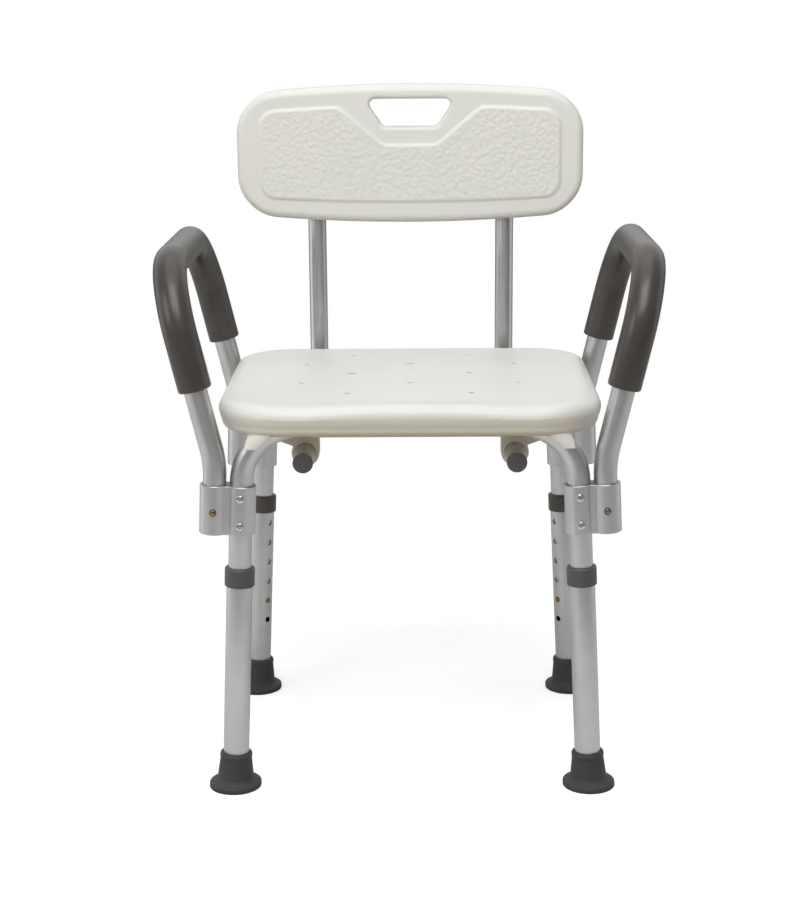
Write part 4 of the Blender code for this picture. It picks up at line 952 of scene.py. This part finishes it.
border, back = PANEL_FRONT + FIELD_RISE, PANEL_FRONT + PANEL_THICKNESS
rings = [(PANEL_FRONT + FIELD_RISE * ease(k / STEP_ROWS), field_outline(FIELD_STEP * (0.5 - k / STEP_ROWS)))
         for k in range(STEP_ROWS + 1)]
first, last = rings[-1][1], panel_outline(PANEL_EDGE)
rings += [(border, first + (last - first) * k / BORDER_ROWS) for k in range(1, BORDER_ROWS)]
front_edge, rear_edge = quarter(PANEL_EDGE, 12)[::-1], quarter(PANEL_REAR_EDGE, 6)
rings += [(border + PANEL_EDGE - along, panel_outline(inset)) for inset, along in front_edge]
rings += [(back - PANEL_REAR_EDGE + along, panel_outline(inset)) for inset, along in rear_edge]
bm = loft([[bent(x, y, z) for x, z in edge] for y, edge in rings])
fill(bm, rings[0][1], PANEL_STEPS[0], lambda x, z: bent(x, PANEL_FRONT, z), finish=1)
fill(bm, panel_outline(PANEL_REAR_EDGE), PANEL_STEPS[0], lambda x, z: bent(x, back, z))
panel = make("back_moulding", bm, [polyethylene, pebbled])
print("panel faces before its cuts:", len(panel.data.polygons))

# %% [markdown]
# ## Handle hole and channels
# The handle hole's edge is rounded for the fingers, so its cutter flares like a trumpet
# at both faces. The channels for the tubes are round inside and open at the back.

# %% The back's cuts
HANDLE_EDGE, HANDLE_REACH = 0.0045, 0.006   # rounding, and how far the cutter reaches past it
HANDLE_STEPS = (40, 24, 60, 24)
CHANNEL_STEPS, CHANNEL_LEAD, CHANNEL_DEPTH = 24, 0.03, 0.01
corners = ((-HANDLE_NEAR, HANDLE_BOTTOM), (HANDLE_NEAR, HANDLE_BOTTOM), (HANDLE_FAR, HANDLE_TOP),
           (-HANDLE_FAR, HANDLE_TOP))


def handle_outline(grow):
    """The handle hole's outline, wider by a distance all round."""
    middle = (HANDLE_TOP + HANDLE_BOTTOM) / 2
    return outline([(x + copysign(grow, x), z + copysign(grow, z - middle), HANDLE_CORNER + grow)
                    for x, z in corners], HANDLE_STEPS)


mouth = [(inset, HANDLE_EDGE - along) for inset, along in quarter(HANDLE_EDGE)]
levels = [(border - HANDLE_REACH, HANDLE_EDGE)] + [(border + depth, grow) for depth, grow in mouth]
levels += [(back - depth, grow) for depth, grow in mouth[::-1]] + [(back + HANDLE_REACH, HANDLE_EDGE)]
rings = [[Vector((x, y, z)) for x, z in handle_outline(grow)] for y, grow in levels]
cut(panel, make("handle", loft(rings, caps=True)))

channel_r = BACK_TUBE_R + COLLAR_FIT
turns = [pi + pi * k / CHANNEL_STEPS for k in range(CHANNEL_STEPS + 1)]
groove = [(channel_r * cos(t), BACK_TUBE_Y + channel_r * sin(t)) for t in turns]
groove += [(channel_r, back + CHANNEL_DEPTH), (-channel_r, back + CHANNEL_DEPTH)]
for _, side in SIDES:
    rings = [[Vector((side * BACK_TUBE_X + x, y, z)) for x, y in groove]
             for z in (PANEL_BOTTOM - CHANNEL_LEAD, BACK_TUBE_TOP + COLLAR_FIT)]
    cut(panel, make("channel", loft(rings, caps=True)))
stand_in(panel, "backrest", "moulded_polyethylene", "back_panel")
print("panel faces:", len(panel.data.polygons))

# %% [markdown]
# ## Floor
# The photograph has a white sweep. Near the chair the camera sees a floor that is lit by
# the lamps and lifted a little, so that soft shadows stay round the feet, and further
# off it sees plain white. Light that bounces off the floor is warmer and weaker. Metal
# sees a sweep that ends in front of the chair: the studio beyond it is dark, up to its
# lit end behind the camera.

# %% Floor and backdrop
FLOOR_SIZE = 40.0
FLOOR_LIFT = 0.53               # light that the near floor gives of its own
NEAR, FAR = 0.35, 0.95          # metres from the chair, where the fade to white starts and ends
SWEEP_END, DARK_START = -1.0, -1.7  # where the white sweep starts to end, and where it has ended
WALL_START, WALL_FULL, WALL_GLOW = -2.9, -3.7, 0.55     # the lit end, and its strength
SMOOTH = {"interpolation_type": "SMOOTHSTEP"}
bm = bmesh.new()
bmesh.ops.create_grid(bm, x_segments=1, y_segments=1, size=FLOOR_SIZE / 2)
sweep, tree, shader = new_finish("white_sweep", {"Roughness": 0.8})
add = partial(add_node, tree)
rays = add("LightPath").outputs
spot = add("TexCoord").outputs["Object"]
ahead = add("SeparateXYZ", {"Vector": spot}).outputs["Y"]
dark = add("MapRange", {"Value": ahead, "From Min": SWEEP_END, "From Max": DARK_START}, **SMOOTH)
paper = add("Mix", {0: rays["Is Diffuse Ray"], 6: linear("#F6F6F5"), 7: linear("#B6A37A")},
            data_type="RGBA").outputs[2]
studio = add("Mix", {0: dark, 6: paper, 7: linear("#2C2C2C")}, data_type="RGBA").outputs[2]
feed(shader, {"Base Color": studio})
away = add("VectorMath", {0: spot}, operation="LENGTH").outputs["Value"]
fade = add("MapRange", {"Value": away, "From Min": NEAR, "From Max": FAR}, **SMOOTH)
lift = add("Emission", {"Strength": FLOOR_LIFT})
white = add("Emission")
lit = add("AddShader", {0: shader, 1: lift})
shown = add("MixShader", {0: fade, 1: lit, 2: white})
wall = add("MapRange", {"Value": ahead, "From Min": WALL_START, "From Max": WALL_FULL,
                        "To Max": WALL_GLOW})
glow = add("Emission", {"Strength": wall})
mirrored = add("AddShader", {0: shader, 1: glow})
choice = add("MixShader", {0: rays["Is Camera Ray"], 1: mirrored, 2: shown})
feed(tree.nodes["Material Output"], {"Surface": choice})
floor = make("studio_floor", bm, [sweep])
print("floor size:", round(floor.dimensions.x), "metres")

# %% [markdown]
# ## Sky and lamps
# The camera sees a plain white sky, and so does metal that mirrors the backdrop behind
# the chair. For other rays the sky is a weak, even light. Five soft lamps give the rest,
# and the two low ones at the sides draw the bright lines down the tubes.

# %% Sky
SKY_LIGHT = 0.24
BACK, RAISE = (0.1, 0.9), (0, 0.25)     # how far back and up a ray points where mirrors see white
world = bpy.data.worlds.new("studio")
bpy.context.scene.world = world
world.use_nodes = True
tree = world.node_tree
add = partial(add_node, tree)
rays = add("LightPath").outputs
way = add("SeparateXYZ", {0: add("TexCoord").outputs["Generated"]}).outputs
behind = add("MapRange", {"Value": way["Y"], "From Min": BACK[0], "From Max": BACK[1]}, **SMOOTH)
raised = add("MapRange", {"Value": way["Z"], "From Min": RAISE[0], "From Max": RAISE[1]}, **SMOOTH)
backdrop = add("Math", {0: behind, 1: raised}, operation="MULTIPLY")
mirrored = add("Math", {0: rays["Is Glossy Ray"], 1: backdrop}, operation="MULTIPLY")
plain = add("Math", {0: rays["Is Camera Ray"], 1: mirrored}, operation="MAXIMUM")
light = tree.nodes["Background"]
feed(light, {"Color": linear("#FFFFFF"), "Strength": SKY_LIGHT})
seen = add("Background", {"Color": linear("#FFFFFF")})
choice = add("MixShader", {0: plain, 1: light, 2: seen})
feed(tree.nodes["World Output"], {"Surface": choice})
print("nodes in the sky:", len(tree.nodes))

# %% Lamps
CHAIR_MIDDLE = (0, 0, 0.4)
for name, place, aim, size, power in (
        ("above", (0.0, 0.0, 2.2), CHAIR_MIDDLE, 1.8, 10),
        ("front", (0.0, -1.2, 1.9), (0, 0, 0.5), 1.3, 22),
        ("left", (-1.9, -1.3, 1.3), CHAIR_MIDDLE, 1.2, 11),
        ("side_left", (-2.0, 0.3, 0.5), CHAIR_MIDDLE, 1.2, 5),
        ("side_right", (2.0, 0.3, 0.5), CHAIR_MIDDLE, 1.2, 3)):
    lamp = bpy.data.lights.new(f"lamp_{name}", "AREA")
    lamp.shape, lamp.size, lamp.energy = "SQUARE", size, power
    holder = add_object(lamp.name, lamp)
    holder.location = place
    holder.rotation_euler = (Vector(aim) - Vector(place)).to_track_quat("-Z", "Y").to_euler()
print("lamps:", len(bpy.data.lights))

# %% [markdown]
# ## Camera
# Its place, turn and lens were worked out from where the parts of the chair lie in the
# photograph, so the focal length is first given in the photograph's pixels.

# %% Camera
PHOTO_HEIGHT = 900              # pixels, the longer side
FOCAL_LENGTH = 1873.2           # in the same pixels
CAMERA_PLACE = (0.01648, -2.12690, 0.86046)
YAW, PITCH, ROLL = -0.0124, 0.2385, -0.0076
lens = bpy.data.cameras.new("camera")
lens.sensor_width = 36.0
lens.lens = FOCAL_LENGTH / PHOTO_HEIGHT * lens.sensor_width
camera = add_object("camera", lens)
stand = Matrix.Translation(CAMERA_PLACE)
for angle, axis in ((-YAW, "Z"), (pi / 2 - PITCH, "X"), (ROLL, "Z")):
    stand @= Matrix.Rotation(angle, 4, axis)
camera.matrix_world = stand
bpy.context.scene.camera = camera
bpy.context.scene.view_settings.view_transform = "Standard"
print("lens:", round(lens.lens, 1), "mm")
